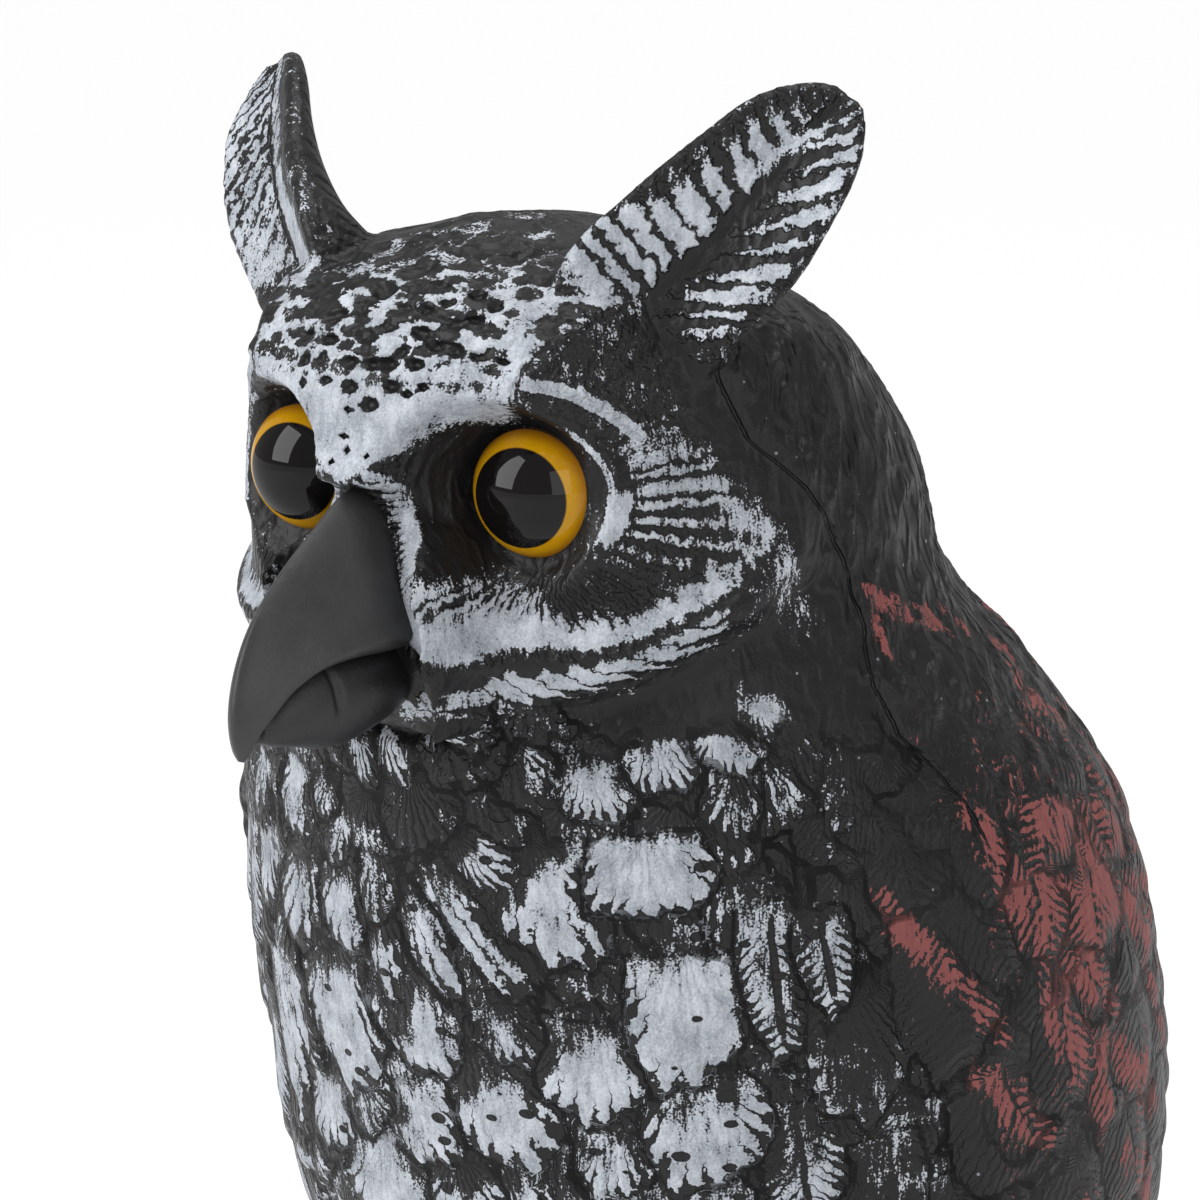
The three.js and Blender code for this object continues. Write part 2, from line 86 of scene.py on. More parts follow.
def curve_through(rows, place):
    """A smooth curve through the rows of a table, at fractional row numbers."""
    place = np.asarray(place, float)
    first = np.clip(np.floor(place).astype(int), 0, len(rows) - 2)
    f = (place - first)[..., None]
    a, b, c, d = (rows[np.clip(first + n, 0, len(rows) - 1)] for n in (-1, 0, 1, 2))
    return b + 0.5 * f * (c - a + f * (2 * a - 5 * b + 4 * c - d + f * (3 * (b - c) + d - a)))


def beside_line(line, x, z):
    """Distance to a line, how far along it the nearest point is, and how far above the line the spot lies."""
    nearest, along, above = np.full(np.shape(x), np.inf), np.zeros(np.shape(x)), np.zeros(np.shape(x))
    passed = 0.0
    for (ax, az), (bx, bz) in zip(line, line[1:]):
        run = np.hypot(bx - ax, bz - az)
        share = np.clip(((x - ax) * (bx - ax) + (z - az) * (bz - az)) / run**2, 0, 1)
        gap = np.hypot(x - ax - share * (bx - ax), z - az - share * (bz - az))
        closer = gap < nearest
        nearest[closer], along[closer] = gap[closer], passed + (share * run)[closer]
        above[closer] = ((z - az) * (bx - ax) - (x - ax) * (bz - az))[closer] / run
        passed += run
    return nearest, along, above


def distance_to(line, x, z):
    return beside_line(line, x, z)[0]


def above_brow_edge(x, z):
    return z - np.interp(x, *zip(*brow_edge))


def plain_point(angle, place):
    """A point of the uncarved form, at an angle from the breast and a section number."""
    height, wide, middle, front, back = np.moveaxis(curve_through(body_sections, place), -1, 0)
    depth = np.where(np.cos(angle) > 0, front, back)
    return np.stack([wide * np.sin(angle), middle - depth * np.cos(angle), height], -1)


def muzzle_side(z):
    return 15 - 7 * smooth(306, 330, z) - 2.4 * bump(z - 328, 6)


def face_relief(x, z):
    """How far brow, disc, collar, lids and muzzle stand off the plain form."""
    around = np.hypot(x - eye_centre[0], z - eye_centre[2])
    rim = 2.8 * bump(distance_to(disc_rim, x, z), 3.2)
    ruff = 2.2 * bump(distance_to(ruff_line, x, z), 3.2)
    below_rim, below_ruff = (
        distance_to([(1.04 * lx, lz - 5.5) for lx, lz in line], x, z) for line in (disc_rim, ruff_line)
    )
    partings = -1.4 * bump(below_rim, 1.8) - 2.2 * bump(below_ruff, 3.2)
    upper_side = smooth(-4, 8, z - eye_centre[2]) * smooth(-2, 8, x - eye_centre[0])
    outer_side = smooth(-14, -8, z - eye_centre[2]) * smooth(2, 9, x - eye_centre[0])
    lids = 2.2 * bump(around - 22, 1.6) * upper_side + 1.6 * bump(around - 16.5, 1.3) * outer_side
    brow = 2.4 * bump(distance_to(brow_edge, x, z), 3.6) + 0.8 * smooth(-2, 10, above_brow_edge(x, z))
    ear_root = 3 * bump(np.hypot(x - 31, z - 359), 9)
    side = muzzle_side(z)
    muzzle = 9 * (1 - smooth(side - 1, side + 8, x)) * smooth(273, 286, z)
    muzzle *= (1 - 0.5 * smooth(295, 322, z)) * (1 - smooth(322, 336, z))
    muzzle += 3 * (1 - smooth(side, side + 6, x)) * smooth(278, 286, z) * (1 - smooth(310, 321, z))
    return rim + ruff + partings + lids + brow + ear_root + muzzle


def socket_limit(x, z):
    """How far forward the face may reach near the eye, which lies deep beside the muzzle."""
    around = np.hypot(x - eye_centre[0], z - eye_centre[2])
    outside = np.maximum(0, around - eye_radius - 1.2)
    inwards = np.clip((eye_centre[0] - x) / (around + 1), 0, 1)
    upwards = np.clip((z - eye_centre[2]) / (around + 1), 0, 1)
    steepness = 0.75 + 2.5 * inwards**2 + 2 * upwards**2
    side = muzzle_side(z) + 2.8 * (1 - smooth(306, 322, z))
    return eye_centre[1] + 1.2 - steepness * outside - 22 * (1 - smooth(side - 3, side + 1.5, x))


def across_from(line, height):
    """The turn off the front of a line given as heights and turns."""
    return np.interp(height, line[::-1, 0], line[::-1, 1])


def farther_back(a, b, rounding):
    blend = np.clip(0.5 + (a - b) / (2 * rounding), 0, 1)
    return b + (a - b) * blend + rounding * blend * (1 - blend)


def loft(rings):
    """Corners and faces of a closed surface through rings of points."""
    rings = np.asarray(rings)
    count, sides = rings.shape[:2]
    corners = np.vstack([rings.reshape(-1, 3), rings[0].mean(0), rings[-1].mean(0)])
    faces = []
    for r in range(count - 1):
        for c in range(sides):
            a, b = r * sides + c, r * sides + (c + 1) % sides
            faces.append((a, a + sides, b + sides, b))
    last, end = (count - 1) * sides, count * sides
    for c in range(sides):
        faces.append((end, c, (c + 1) % sides))
        faces.append((end + 1, last + (c + 1) % sides, last + c))
    return corners, faces


turn = np.linspace(0, 2 * np.pi, 260, endpoint=False)
column_angle = turn - front_crowding * np.sin(turn)
places = np.concatenate([np.linspace(0.15, 4, 22), np.linspace(4.1, 12, 95), np.linspace(12.15, 23, 120)])
angle, place = np.meshgrid(column_angle, places)
trunk = plain_point(angle, place)
sideways = plain_point(angle + 0.01, place) - plain_point(angle - 0.01, place)
downwards = plain_point(angle, np.minimum(place + 0.01, 23)) - plain_point(angle, place - 0.01)
outwards = np.cross(downwards, sideways)
outwards /= np.linalg.norm(outwards, axis=-1, keepdims=True)
off_front = np.degrees(np.abs(np.angle(np.exp(1j * angle))))
x, z = np.abs(trunk[..., 0]), trunk[..., 2]
facing = 1 - smooth(72, 88, off_front)
on_trunk = smooth(neck_section - 0.3, neck_section + 0.6, place)
edge = across_from(wing_edge, z)
on_wing = smooth(edge - 3, edge + 2, off_front) * smooth(56, 76, z) * (1 - smooth(250, 274, z))
far_cheek = smooth(-46, -56, trunk[..., 0]) * bump(z - 309, 12)
in_face = facing * (1 - on_trunk) * (face_relief(x, z) - 1.5 * far_cheek)
trunk += outwards * (in_face + 2.2 * on_wing)[..., None]
hollow = farther_back(trunk[..., 1], socket_limit(x, z), 1.5)
trunk[..., 1] = np.where((facing > 0) & (place < neck_section - 1), hollow, trunk[..., 1])
beak_side = np.interp(z, [277, 282, 300, 310, 320, 328], [10.6, 14, 14.4, 13.9, 11.2, 6])
beak_seat = facing * smooth(276, 278, z) * (1 - smooth(325, 328, z))
beak_seat *= 1 - smooth(beak_side - 0.6, beak_side + 0.6, x)
trunk[..., 1] += seat_depth * beak_seat
foot = trunk[-1].copy()
foot[:, 2] = foot_end
shells = [loft(np.concatenate([trunk, foot[None]]) - (0, head_forward, 0))]


# Ear tufts
# Each is a leaf-shaped blade that grows out of the brow, moulded with the body. Its hollowed face looks
# forwards and outwards, with a raised rim and a groove along the shaft.

# Each station: inner edge, outer edge, thickness behind the face.
ear_stations = np.array([
    [20, -48, 352, 42, -32, 334, 20], [28, -47, 366, 52, -31.5, 347, 22.5],
    [32.5, -44.5, 373, 57, -30.5, 353.5, 20.5], [37, -41, 378, 61.5, -28.5, 358, 14.6],
    [42.5, -36, 384.5, 67, -26, 364.5, 11], [48, -29, 391, 71, -23, 372.5, 8],
    [53, -23, 396.5, 73.8, -19, 381, 7], [58, -17.5, 399.3, 73.8, -14.5, 388, 5.7],
    [62.5, -13, 400, 71.8, -11.5, 394.4, 4.5], [65.5, -11.3, 399.2, 69, -10.8, 397, 2.5],
])
ear_facing = np.array([0.56, -0.79, 0.25]) / np.linalg.norm([0.56, -0.79, 0.25])
stations = curve_through(ear_stations, np.linspace(0, 9, 60))
around_ear = np.linspace(0, 2 * np.pi, 56, endpoint=False)
inner, outer, thickness = stations[:, :3], stations[:, 3:6], stations[:, 6]
across = (outer - inner) / 2
across_share, inside = np.cos(around_ear), np.abs(np.sin(around_ear))
front = 1.6 * 4 * inside * (1 - inside) - 2 * inside**3 - 0.9 * bump(across_share, 0.09)
front = front[None] * (np.linalg.norm(across, axis=1) / 16)[:, None]
depth = np.where(np.sin(around_ear) > 0, front, -thickness[:, None] * inside)
ear = (inner + outer)[:, None] / 2 + across[:, None] * across_share[None, :, None]
ear += depth[..., None] * ear_facing
ear -= (0, head_forward, 0)
ear_marks = []
for side in (1, -1):
    shells.append(loft(ear * (side, 1, 1)))
    for i in range(len(ear)):
        for n in range(len(around_ear)):
            ear_marks.append((ear[i, n] * (side, 1, 1), across_share[n], i / 59, np.sin(around_ear[n])))


# Plinth, feet and tail
# The foot of the moulding is a low round plinth with a flat underside. Toes grip its front edge, and the
# tail hangs down behind it. The photograph doesn't show them, so they are kept plain.

plinth_radius, plinth_height, plinth_rounding = 63, 20, 4
toe_length, toe_radius = 34, 6.5
toe_knuckles = np.array([1, 1.05, 0.9, 1, 0.75, 0.35, 0.12])
# Each station of the tail: middle, height, half width, half thickness.
tail_stations = np.array([
    [90, 132, 32, 16], [104, 104, 35, 15], [110, 74, 34, 12], [112, 46, 31, 9], [112, 28, 27, 7],
    [111.5, 15, 24, 6],
])
round_turn = np.linspace(0, 2 * np.pi, 120, endpoint=False)
plinth_rings = []
for a in np.linspace(np.pi / 2, 0, 7):
    radius = plinth_radius - plinth_rounding * (1 - np.cos(a))
    plinth_rings.append((radius, plinth_height - plinth_rounding * (1 - np.sin(a))))
plinth_rings += [(plinth_radius, 8), (plinth_radius, 0)]
round_and_up = np.stack([np.sin(round_turn), -np.cos(round_turn), np.ones(120)], 1)
shells.append(loft([round_and_up * (radius, radius, height) for radius, height in plinth_rings]))
for side in (1, -1):
    for spread in (-26, 0, 26):
        heading = np.radians(spread + side * 6)
        ahead = np.array([np.sin(heading), -np.cos(heading), 0])
        aside = np.array([np.cos(heading), np.sin(heading), 0])
        rings = []
        for share in np.linspace(0, 1, 25):
            radius = toe_radius * np.interp(share, np.linspace(0, 1, 7), toe_knuckles)
            centre = np.array([21 * side, -26, plinth_height]) + ahead * toe_length * share
            arch = 0.75 + 0.35 * np.sin(np.pi * min(1, share * 1.4))
            centre[2] += toe_radius * arch * (1 - 0.55 * smooth(0.6, 0.9, share))
            ring_turn = np.linspace(0, 2 * np.pi, 20, endpoint=False)[:, None]
            ring = aside * radius * np.cos(ring_turn) + np.array([0, 0, radius]) * np.sin(ring_turn)
            rings.append(centre + ring)
        shells.append(loft(rings))
rings = []
for middle, height, half, thick in curve_through(tail_stations, np.linspace(0, 5, 40)):
    a = np.linspace(0, 2 * np.pi, 100, endpoint=False)
    flute = 1 + 0.14 * np.cos(10 * a)
    depth = thick * np.sign(np.sin(a)) * np.sqrt(np.abs(np.sin(a))) * flute
    from_front = middle + depth - 4 * np.cos(a) ** 2 - head_forward
    rings.append(np.stack([half * np.cos(a), from_front, np.full(100, height)], 1))
shells.append(loft(rings))


# One moulding
# The shells above are fused into one skin, as the mould makes it, and the feathers are pressed into it.
# Marks left on the skin say where each kind of carving and paint goes, for the material to read.


def new_piece(name, corners, faces):
    mesh = bpy.data.meshes.new(name)
    mesh.from_pydata((np.asarray(corners) * 0.001).tolist(), [], faces)
    piece = bpy.data.objects.new(name, mesh)
    bpy.context.scene.collection.objects.link(piece)
    return piece


def shade_smooth(piece):
    piece.data.polygons.foreach_set("use_smooth", np.ones(len(piece.data.polygons), bool))


def settle(piece):
    """Turns a piece with modifiers into a plain mesh."""
    bpy.context.view_layer.update()
    plain = bpy.data.meshes.new_from_object(piece.evaluated_get(bpy.context.evaluated_depsgraph_get()))
    piece.modifiers.clear()
    piece.data = plain


def mark(mesh, name, values):
    """Leaves one value, or three, at each corner of a mesh, for its material to read."""
    kind, entry = ("FLOAT_VECTOR", "vector") if len(values) == 3 else ("FLOAT", "value")
    layer = mesh.attributes.new(name, kind, "POINT")
    layer.data.foreach_set(entry, np.asarray(values, np.float32).T.ravel())


skin_grid = 0.00125
most_triangles = 196000
corners, faces = [], []
for shell_corners, shell_faces in shells:
    start = sum(len(c) for c in corners)
    corners.append(shell_corners)
    faces += [tuple(start + n for n in face) for face in shell_faces]
body = new_piece("body_moulding", np.vstack(corners), faces)
fuse = body.modifiers.new("fuse", "REMESH")
fuse.mode = "VOXEL"
fuse.voxel_size = skin_grid
soften = body.modifiers.new("soften", "SMOOTH")
soften.iterations, soften.factor = 3, 0.5
settle(body)

count = len(body.data.vertices)
skin, normal = np.zeros(count * 3, np.float32), np.zeros(count * 3, np.float32)
body.data.vertices.foreach_get("co", skin)
body.data.vertex_normals.foreach_get("vector", normal)
skin, normal = skin.reshape(-1, 3).astype(float) * 1000, normal.reshape(-1, 3).astype(float)

fine_places = np.linspace(0, 23, 4000)
place = np.interp(skin[:, 2], curve_through(body_sections, fine_places)[::-1, 0], fine_places[::-1])
height, wide, middle, front, back = curve_through(body_sections, place).T
forward = middle - head_forward - skin[:, 1]
depth = np.where(forward > 0, front, back)
angle = np.arctan2(skin[:, 0] / np.maximum(wide, 1), forward / np.maximum(depth, 1))
stands_off = (np.hypot(skin[:, 0] / np.maximum(wide, 1), forward / np.maximum(depth, 1)) - 1) * wide
off_front = np.degrees(np.abs(angle))
x, z = np.abs(skin[:, 0]), skin[:, 2]

ear_tree = KDTree(len(ear_marks))
for n, (spot, *_) in enumerate(ear_marks):
    ear_tree.insert(spot, n)
ear_tree.balance()
ear_across, ear_along, ear_face, on_ear = np.zeros((4, count))
for n in np.nonzero((z > 340) & (x > 15) & (skin[:, 1] < -head_forward + 10))[0]:
    _, found, distance = ear_tree.find(skin[n])
    if distance < 4:
        ear_across[n], ear_along[n], ear_face[n] = ear_marks[found][1:]
        on_ear[n] = 1 - smooth(2, 4, distance)
on_ear *= smooth(0.06, 0.2, ear_along) * np.maximum(smooth(1, 4, stands_off), smooth(366, 372, z))

# Each pit pressed in the forehead: place across, height, half width, half height.
forehead_pits = [
    (13.9, 367.3, 1.6, 3.6), (-0.7, 364.3, 2.2, 2.6), (-17.1, 358.2, 2.6, 2.2), (-10.9, 356.1, 1.7, 1.4),
    (-5.7, 358.5, 1.4, 1.6), (-2.6, 361.1, 1.9, 1.5), (-0.9, 363.6, 1.3, 0.9), (3.4, 355.6, 1.5, 1.0),
    (-0.4, 353.6, 1.7, 1.2), (11.1, 354.6, 1.6, 0.9), (15.1, 356.7, 1.9, 0.9), (8.7, 359.0, 1.1, 1.1),
    (4.8, 358.9, 1.5, 0.8), (-16.1, 352.7, 1.5, 0.9), (-9.1, 352.3, 1.5, 0.9), (-14.6, 348.8, 1.2, 0.9),
    (-8.9, 349.1, 0.9, 0.8), (-2.2, 349.2, 1.4, 0.8), (2.9, 348.7, 1.2, 0.8), (6.4, 349.4, 1.5, 0.8),
    (8.6, 351.9, 1.3, 0.9), (12.0, 350.0, 1.2, 0.7), (18.6, 351.8, 1.4, 0.9), (22.2, 351.3, 1.0, 0.6),
    (26.8, 350.8, 1.0, 0.5), (-6.8, 345.3, 1.1, 0.7), (-0.1, 344.7, 1.3, 0.9), (8.0, 345.9, 1.3, 0.8),
    (11.7, 344.7, 0.8, 0.5), (14.8, 345.7, 0.7, 0.5), (-0.5, 341.0, 0.7, 0.5), (4.6, 342.1, 1.3, 0.9),
    (-1.4, 335.9, 0.8, 0.4), (-1.0, 333.2, 0.5, 0.6), (-2.6, 331.2, 0.4, 0.5), (4.5, 332.7, 0.5, 0.4),
    (14.2, 352.6, 1.2, 0.7), (17.9, 357.9, 1.2, 0.8), (-22.4, 360.2, 2.2, 1.9), (12.5, 359.8, 1.1, 0.8),
    (7.5, 362.2, 1.3, 1.2), (15.8, 361.2, 1.2, 0.9), (20.8, 359.6, 1.0, 0.9), (-12.5, 344.6, 0.8, 0.6),
]

# Each feather on the breast, flank and wing: root turn and height, tip turn and height, width, then how much
# white paint it took, and its kind: 0 fan of barbs, 1 with a shaft, 2 dark fan, 3 long wing feather.
breast_feathers = [
    (-8.4, 275.9, -6.1, 264.8, 7.5, 0.9, 0), (-2.7, 279.1, -0.8, 266.6, 7.5, 0.95, 0),
    (5.3, 284.4, 5.1, 273.9, 8, 0.9, 0), (10.4, 286.2, 9.8, 276.2, 7, 0.85, 0),
    (55, 286.5, 54.3, 279, 9, 0.7, 0), (-33, 266, -38, 251, 10, 0.8, 0), (-21, 268, -24, 251, 13, 0.9, 0),
    (-15, 266, -17, 257, 9, 0.6, 0), (-12, 259, -16, 248, 9, 0.8, 0), (-34, 248, -35, 232, 13, 0.8, 0),
    (-21, 249, -27, 227, 14, 1, 0), (-13, 249, -15, 230, 14, 1, 0), (-6.5, 253, -8, 237, 11, 0.7, 0),
    (-7.6, 242, -6.5, 222, 10, 1, 0), (-2.7, 248, 3.2, 224, 10, 1, 0), (0.6, 253, 15, 227.5, 11, 1, 0),
    (7, 258.5, 13, 249.5, 12, 0.9, 0), (17.5, 259, 20, 234, 22, 1, 0), (28, 275.5, 29, 264, 18, 0.9, 0),
    (38, 281, 39, 270, 17, 1, 0), (49, 284, 50, 274, 18, 1, 0), (32.5, 262, 31, 245, 24, 1, 0),
    (33.2, 238, 31, 211, 25.5, 1, 0), (21, 224, 18, 203, 23, 1, 0), (-6.5, 206, -1.8, 189, 22, 1, 0),
    (4.7, 216, 11, 191, 24, 1, 0), (-17.5, 230, -15, 201, 29, 1, 0), (-4.4, 230, -1.5, 207.6, 22, 1, 0),
    (-32, 224, -34, 188, 17, 0.9, 0), (-23, 201, -25, 184.5, 17, 1, 0),
    (-16, 203, -12.4, 192.6, 18, 0.6, 0), (-12, 190, -12, 168, 29, 1, 0), (9, 226, 11.6, 213, 15, 1, 0),
    (22, 202, 21, 187, 18, 0.8, 0), (32, 213, 33.6, 190.4, 25, 1, 0), (7, 192, 7.6, 172, 21, 0.9, 0),
    (0, 191, 1, 175, 18, 0.9, 0), (32, 192, 32.5, 169, 20, 0.9, 0), (47, 274, 43, 260, 13, 0.5, 0),
]
side_feathers = [
    (46, 255, 43.5, 217, 15, 0.75, 1), (51.6, 251, 50.6, 225.5, 13, 0.75, 1),
    (53, 233, 51.7, 203, 20, 0.4, 2), (44, 214, 45, 182, 17, 0.75, 1), (53.5, 206, 56.7, 174, 19, 0.34, 2),
    (65, 278, 58, 260, 12, 0.3, 2), (70, 275, 67, 266.5, 14, 0.1, 2), (67, 252, 65.6, 212, 26, 0, 3),
    (70, 253, 75, 226.6, 15, 0, 3), (78, 264, 74, 242.5, 15, 0, 3), (82.5, 250, 81.6, 230, 18, 0, 3),
    (96, 247, 91, 229, 26, 0, 3), (96, 263, 84, 247.6, 20, 0, 3), (115, 258.5, 101.5, 245, 19, 0, 3),
    (87, 231, 91.6, 217, 14, 0, 3), (82, 227, 81.7, 198, 17, 0, 3), (90, 213, 92, 192, 17, 0, 3),
    (101, 219, 98.7, 195, 22, 0, 3), (70, 211, 76, 194, 16, 0, 3), (69.5, 217, 77, 188.5, 28, 0, 3),
    (123, 289, 104, 279, 13, 0, 3), (113, 276, 108, 268, 20, 0, 3), (91, 273, 88, 266, 17, 0, 3),
    (120, 264, 109, 254, 18, 0, 3), (94, 199, 99, 173, 19, 0, 3), (80.5, 191, 85, 170, 20, 0, 3),
    (63, 196, 67, 172, 22, 0, 3),
]
# Each sweep of the brush with red paint over shoulder and wing: turn and height at both ends, half width.
red_sweeps = [
    (77, 261, 77, 245, 2.5), (86, 258, 95, 250, 3.3), (96, 251, 124, 243, 3.9), (111, 256, 113, 247, 2.2),
    (79, 248, 81, 233, 3.9), (84, 246, 90, 230, 4.9), (95, 245, 109, 227, 4.3), (59, 248, 61, 241, 2),
    (61, 242, 67, 229, 2.5), (67, 230, 72, 218, 2.2), (84, 229, 94, 217, 2.9), (81, 222, 84, 209, 3.5),
    (84, 209, 89, 196, 3.3), (89, 211, 106, 192, 3.5), (107, 222, 113, 197, 2.2), (69, 210, 77, 195, 2.9),
    (88, 300, 98, 295, 2.5), (86, 303, 82, 292, 1.4), (103, 296, 105, 292, 1.6), (112, 286, 107, 278, 2.5),
    (108, 276, 114, 269, 2.5), (120, 271, 120, 255, 2), (124, 252, 150, 244, 4), (122, 236, 146, 226, 4),
    (128, 214, 140, 196, 4), (152, 232, 160, 206, 4), (168, 248, 178, 228, 4), (172, 214, 178, 190, 3.5),
    (100, 182, 112, 160, 3.5), (124, 184, 134, 156, 3.5), (84, 178, 92, 160, 2.5), (150, 186, 156, 160, 3.5),
    (112, 148, 124, 124, 3), (142, 148, 150, 124, 3), (130, 288, 140, 276, 2.5), (150, 282, 164, 270, 2.5),
    (91, 254, 118, 249, 4.5), (93, 239, 116, 231, 4.5),
]
placed_feathers = breast_feathers + side_feathers
placed_feathers += [(-rt, rz, -tt, tz, *rest) for rt, rz, tt, tz, *rest in side_feathers]


def on_plain_form(turn_degrees, height):
    place = np.interp(-height, -curve_through(body_sections, fine_places)[:, 0], fine_places)
    return plain_point(np.radians(turn_degrees), place) - (0, head_forward, 0)


class Feather:
    """One feather pressed in the skin, with its own axes: along from the root, and across."""

    def __init__(self, root_turn, root_height, tip_turn, tip_height, width, white, kind, longer=0.0):
        self.root, self.tip = on_plain_form(root_turn, root_height), on_plain_form(tip_turn, tip_height)
        self.root += (self.root - self.tip) * longer
        self.length = np.linalg.norm(self.tip - self.root)
        self.along = (self.tip - self.root) / self.length
        middle = np.radians((root_turn + tip_turn) / 2)
        self.across = np.cross(self.along, (np.sin(middle), -np.cos(middle), 0.2))
        self.across /= np.linalg.norm(self.across)
        self.half, self.white, self.kind = width / 2, white, kind
        self.wobble = root_turn * 0.7 + root_height

    def shares(self, spots):
        """Across and along in mm, share of the length, distance in from the outline, and turn of its fan."""
        away = spots - self.root
        u, v = away @ self.across, away @ self.along
        share = v / self.length
        widest = 0.58 if self.kind != 3 else 0.62
        tip_part = np.clip((share - widest) / (1 - widest), 0, None)
        root_part = 0.95 * np.clip((0.34 - share) / 0.34, 0, 1) ** 1.5
        wide = 0.72 + 0.28 * smooth(0, widest, share)
        out = np.hypot(u / self.half / wide, np.maximum(tip_part, root_part))
        bend = np.arctan2(u / self.half, share - widest)
        uneven = 0.09 * np.sin(2.3 * bend + self.wobble) + 0.07 * np.sin(5.1 * bend + 2 * self.wobble)
        out = out * (1 + uneven + 0.04 * np.sin(9.3 * bend + 3 * self.wobble))
        fan = 13 * np.arctan2(u, v - 0.15 * self.length)
        return u, v, share, (1 - out) * self.half * 0.9, fan


placed = [Feather(*row, longer=0.3 if row[6] == 0 else 0.1) for row in placed_feathers]
chance = np.random.default_rng(11)
feathers = []
height, lowest_row, row_spacing = 288.0, 38, 11.5
while height > lowest_row:
    radius = np.interp(height, [40, 100, 190, 240, 290], [48, 64, 90, 88, 72])
    turns = np.arange(-180, 180, np.degrees((15 if height > 90 else 17) / radius)) + chance.uniform(0, 12)
    for turn_now in turns:
        turn_now = turn_now + chance.uniform(-2.5, 2.5)
        rise_now = height + chance.uniform(-4, 4)
        off = abs((turn_now + 180) % 360 - 180)
        winged = off > across_from(wing_edge, rise_now) - 2
        length = chance.uniform(17, 24) if not winged else chance.uniform(20, 29)
        width = chance.uniform(15, 22)
        lean = chance.uniform(-5, 5)
        between_placed = -42 < turn_now < 62 and rise_now > 172
        white_now = chance.uniform(0.2, 0.62) if between_placed else chance.uniform(0.5, 0.95)
        if between_placed and turn_now < 4 and rise_now < 250:
            white_now += 0.3
        chance.random()  # one draw is passed over
        if rise_now > 262 or between_placed and rise_now > 235 and off < 14:
            white_now *= 0.5
        row = (turn_now + lean, rise_now + length, turn_now, rise_now, width)
        if row[1] < 304:
            feathers.append(Feather(*row, 0 if winged else white_now, 3 if winged else 0))
    height -= row_spacing
feathers = sorted(feathers, key=lambda f: f.tip[2]) + sorted(placed, key=lambda f: f.tip[2])

edge = across_from(wing_edge, z)
on_body = (1 - smooth(3, 8, stands_off)) * (1 - on_ear)
behind_seam = np.radians(off_front - across_from(parting_line, z))
behind_seam *= np.interp(z, [240, 290, 330, 370], [88, 72, 62, 40])
neckline = neck_section - 0.7 * (1 - smooth(20, 34, off_front))
feathered = smooth(neckline - 0.3, neckline + 0.6, place) * smooth(34, 50, z) * on_body

# The collar below the facial disc, and the marks that the feathers leave: how far they stand off, where a
# point lies on its feather, which barb it is on, and how deep it lies in the shade of a feather's edge.
_, collar_along, collar_above = beside_line(ruff_line, x, z)
feathered *= np.where(off_front < 60, smooth(1, -3, collar_above), 1)
relief, share, shaft_off, barb, feather_white, feather_kind = np.zeros((6, count))
inwards, under = np.full(count, 9.0), np.ones(count)
breast_rise, wing_rise = 2.4, 1.7
for number, f in enumerate(feathers):
    reach = np.hypot(f.length, f.half)
    near = np.nonzero(np.abs(skin - f.root).max(axis=1) < reach + 7)[0]
    u, v, along, inside, fan = f.shares(skin[near])
    most_rise, edge_run = (breast_rise, 2.2) if f.kind != 3 else (wing_rise, 4.2)
    rise = most_rise * (0.12 + 0.88 * along) * (1 - 0.35 * (u / f.half) ** 2)
    rise *= smooth(-0.8, edge_run, inside)
    beyond = (inside < 0) & (inside > -8) & (along > 0.3)
    shaded = -inside[beyond] / (0.8 + 5.2 * smooth(0.5, 0.95, along[beyond]))
    under[near[beyond]] = np.minimum(under[near[beyond]], shaded)
    below = (inside < 0) & (inside > -3) & (along > 0.25)
    inwards[near[below]] = np.minimum(inwards[near[below]], -inside[below])
    over = (inside > 0) & (along > 0)
    if f in placed:
        over &= (along > 0.25) | (rise > relief[near])
    here, u, v, along, inside, fan = near[over], u[over], v[over], along[over], inside[over], fan[over]
    relief[here], under[here] = rise[over], 1
    inwards[here] = np.where(along < 0.2, 9, inside)
    share[here], shaft_off[here] = along, np.abs(u)
    barb[here] = (fan if f.kind in (0, 2) else v - 0.9 * np.abs(u)) + 7.31 * (number % 9)
    feather_white[here], feather_kind[here] = f.white, f.kind

links = np.zeros(2 * len(body.data.edges), np.int32)
body.data.edges.foreach_get("vertices", links)
links = links.reshape(-1, 2)
neighbours = np.bincount(links.ravel(), minlength=count)


def softened(values, rounds):
    """Values on the skin, evened out between each corner and its neighbours."""
    for _ in range(rounds):
        beside = np.bincount(links[:, 0], values[links[:, 1]], count)
        beside += np.bincount(links[:, 1], values[links[:, 0]], count)
        values = 0.4 * values + 0.6 * beside / np.maximum(neighbours, 1)
    return values


relief = softened(relief, 3)

# Pits pressed in the forehead, low mounds on the crown, and the ridged skin of the nape.
from_pit = np.full(count, 9.0)
front_of_head = np.nonzero((z > 328) & (skin[:, 1] < -85))[0]
for px, pz, half_wide, half_high in forehead_pits:
    gap = np.hypot(skin[front_of_head, 0] - px, skin[front_of_head, 2] - pz)
    middle_of_pit = skin[front_of_head[np.argmin(gap)]]
    near = front_of_head[gap < 9]
    away = skin[near] - middle_of_pit
    u = away[:, 0] / half_wide
    v = np.copysign(np.hypot(away[:, 1], away[:, 2]), away[:, 2]) / half_high
    from_pit[near] = np.minimum(from_pit[near], np.hypot(u, v) / 1.35)
pit = smooth(1.4, 0.5, from_pit)


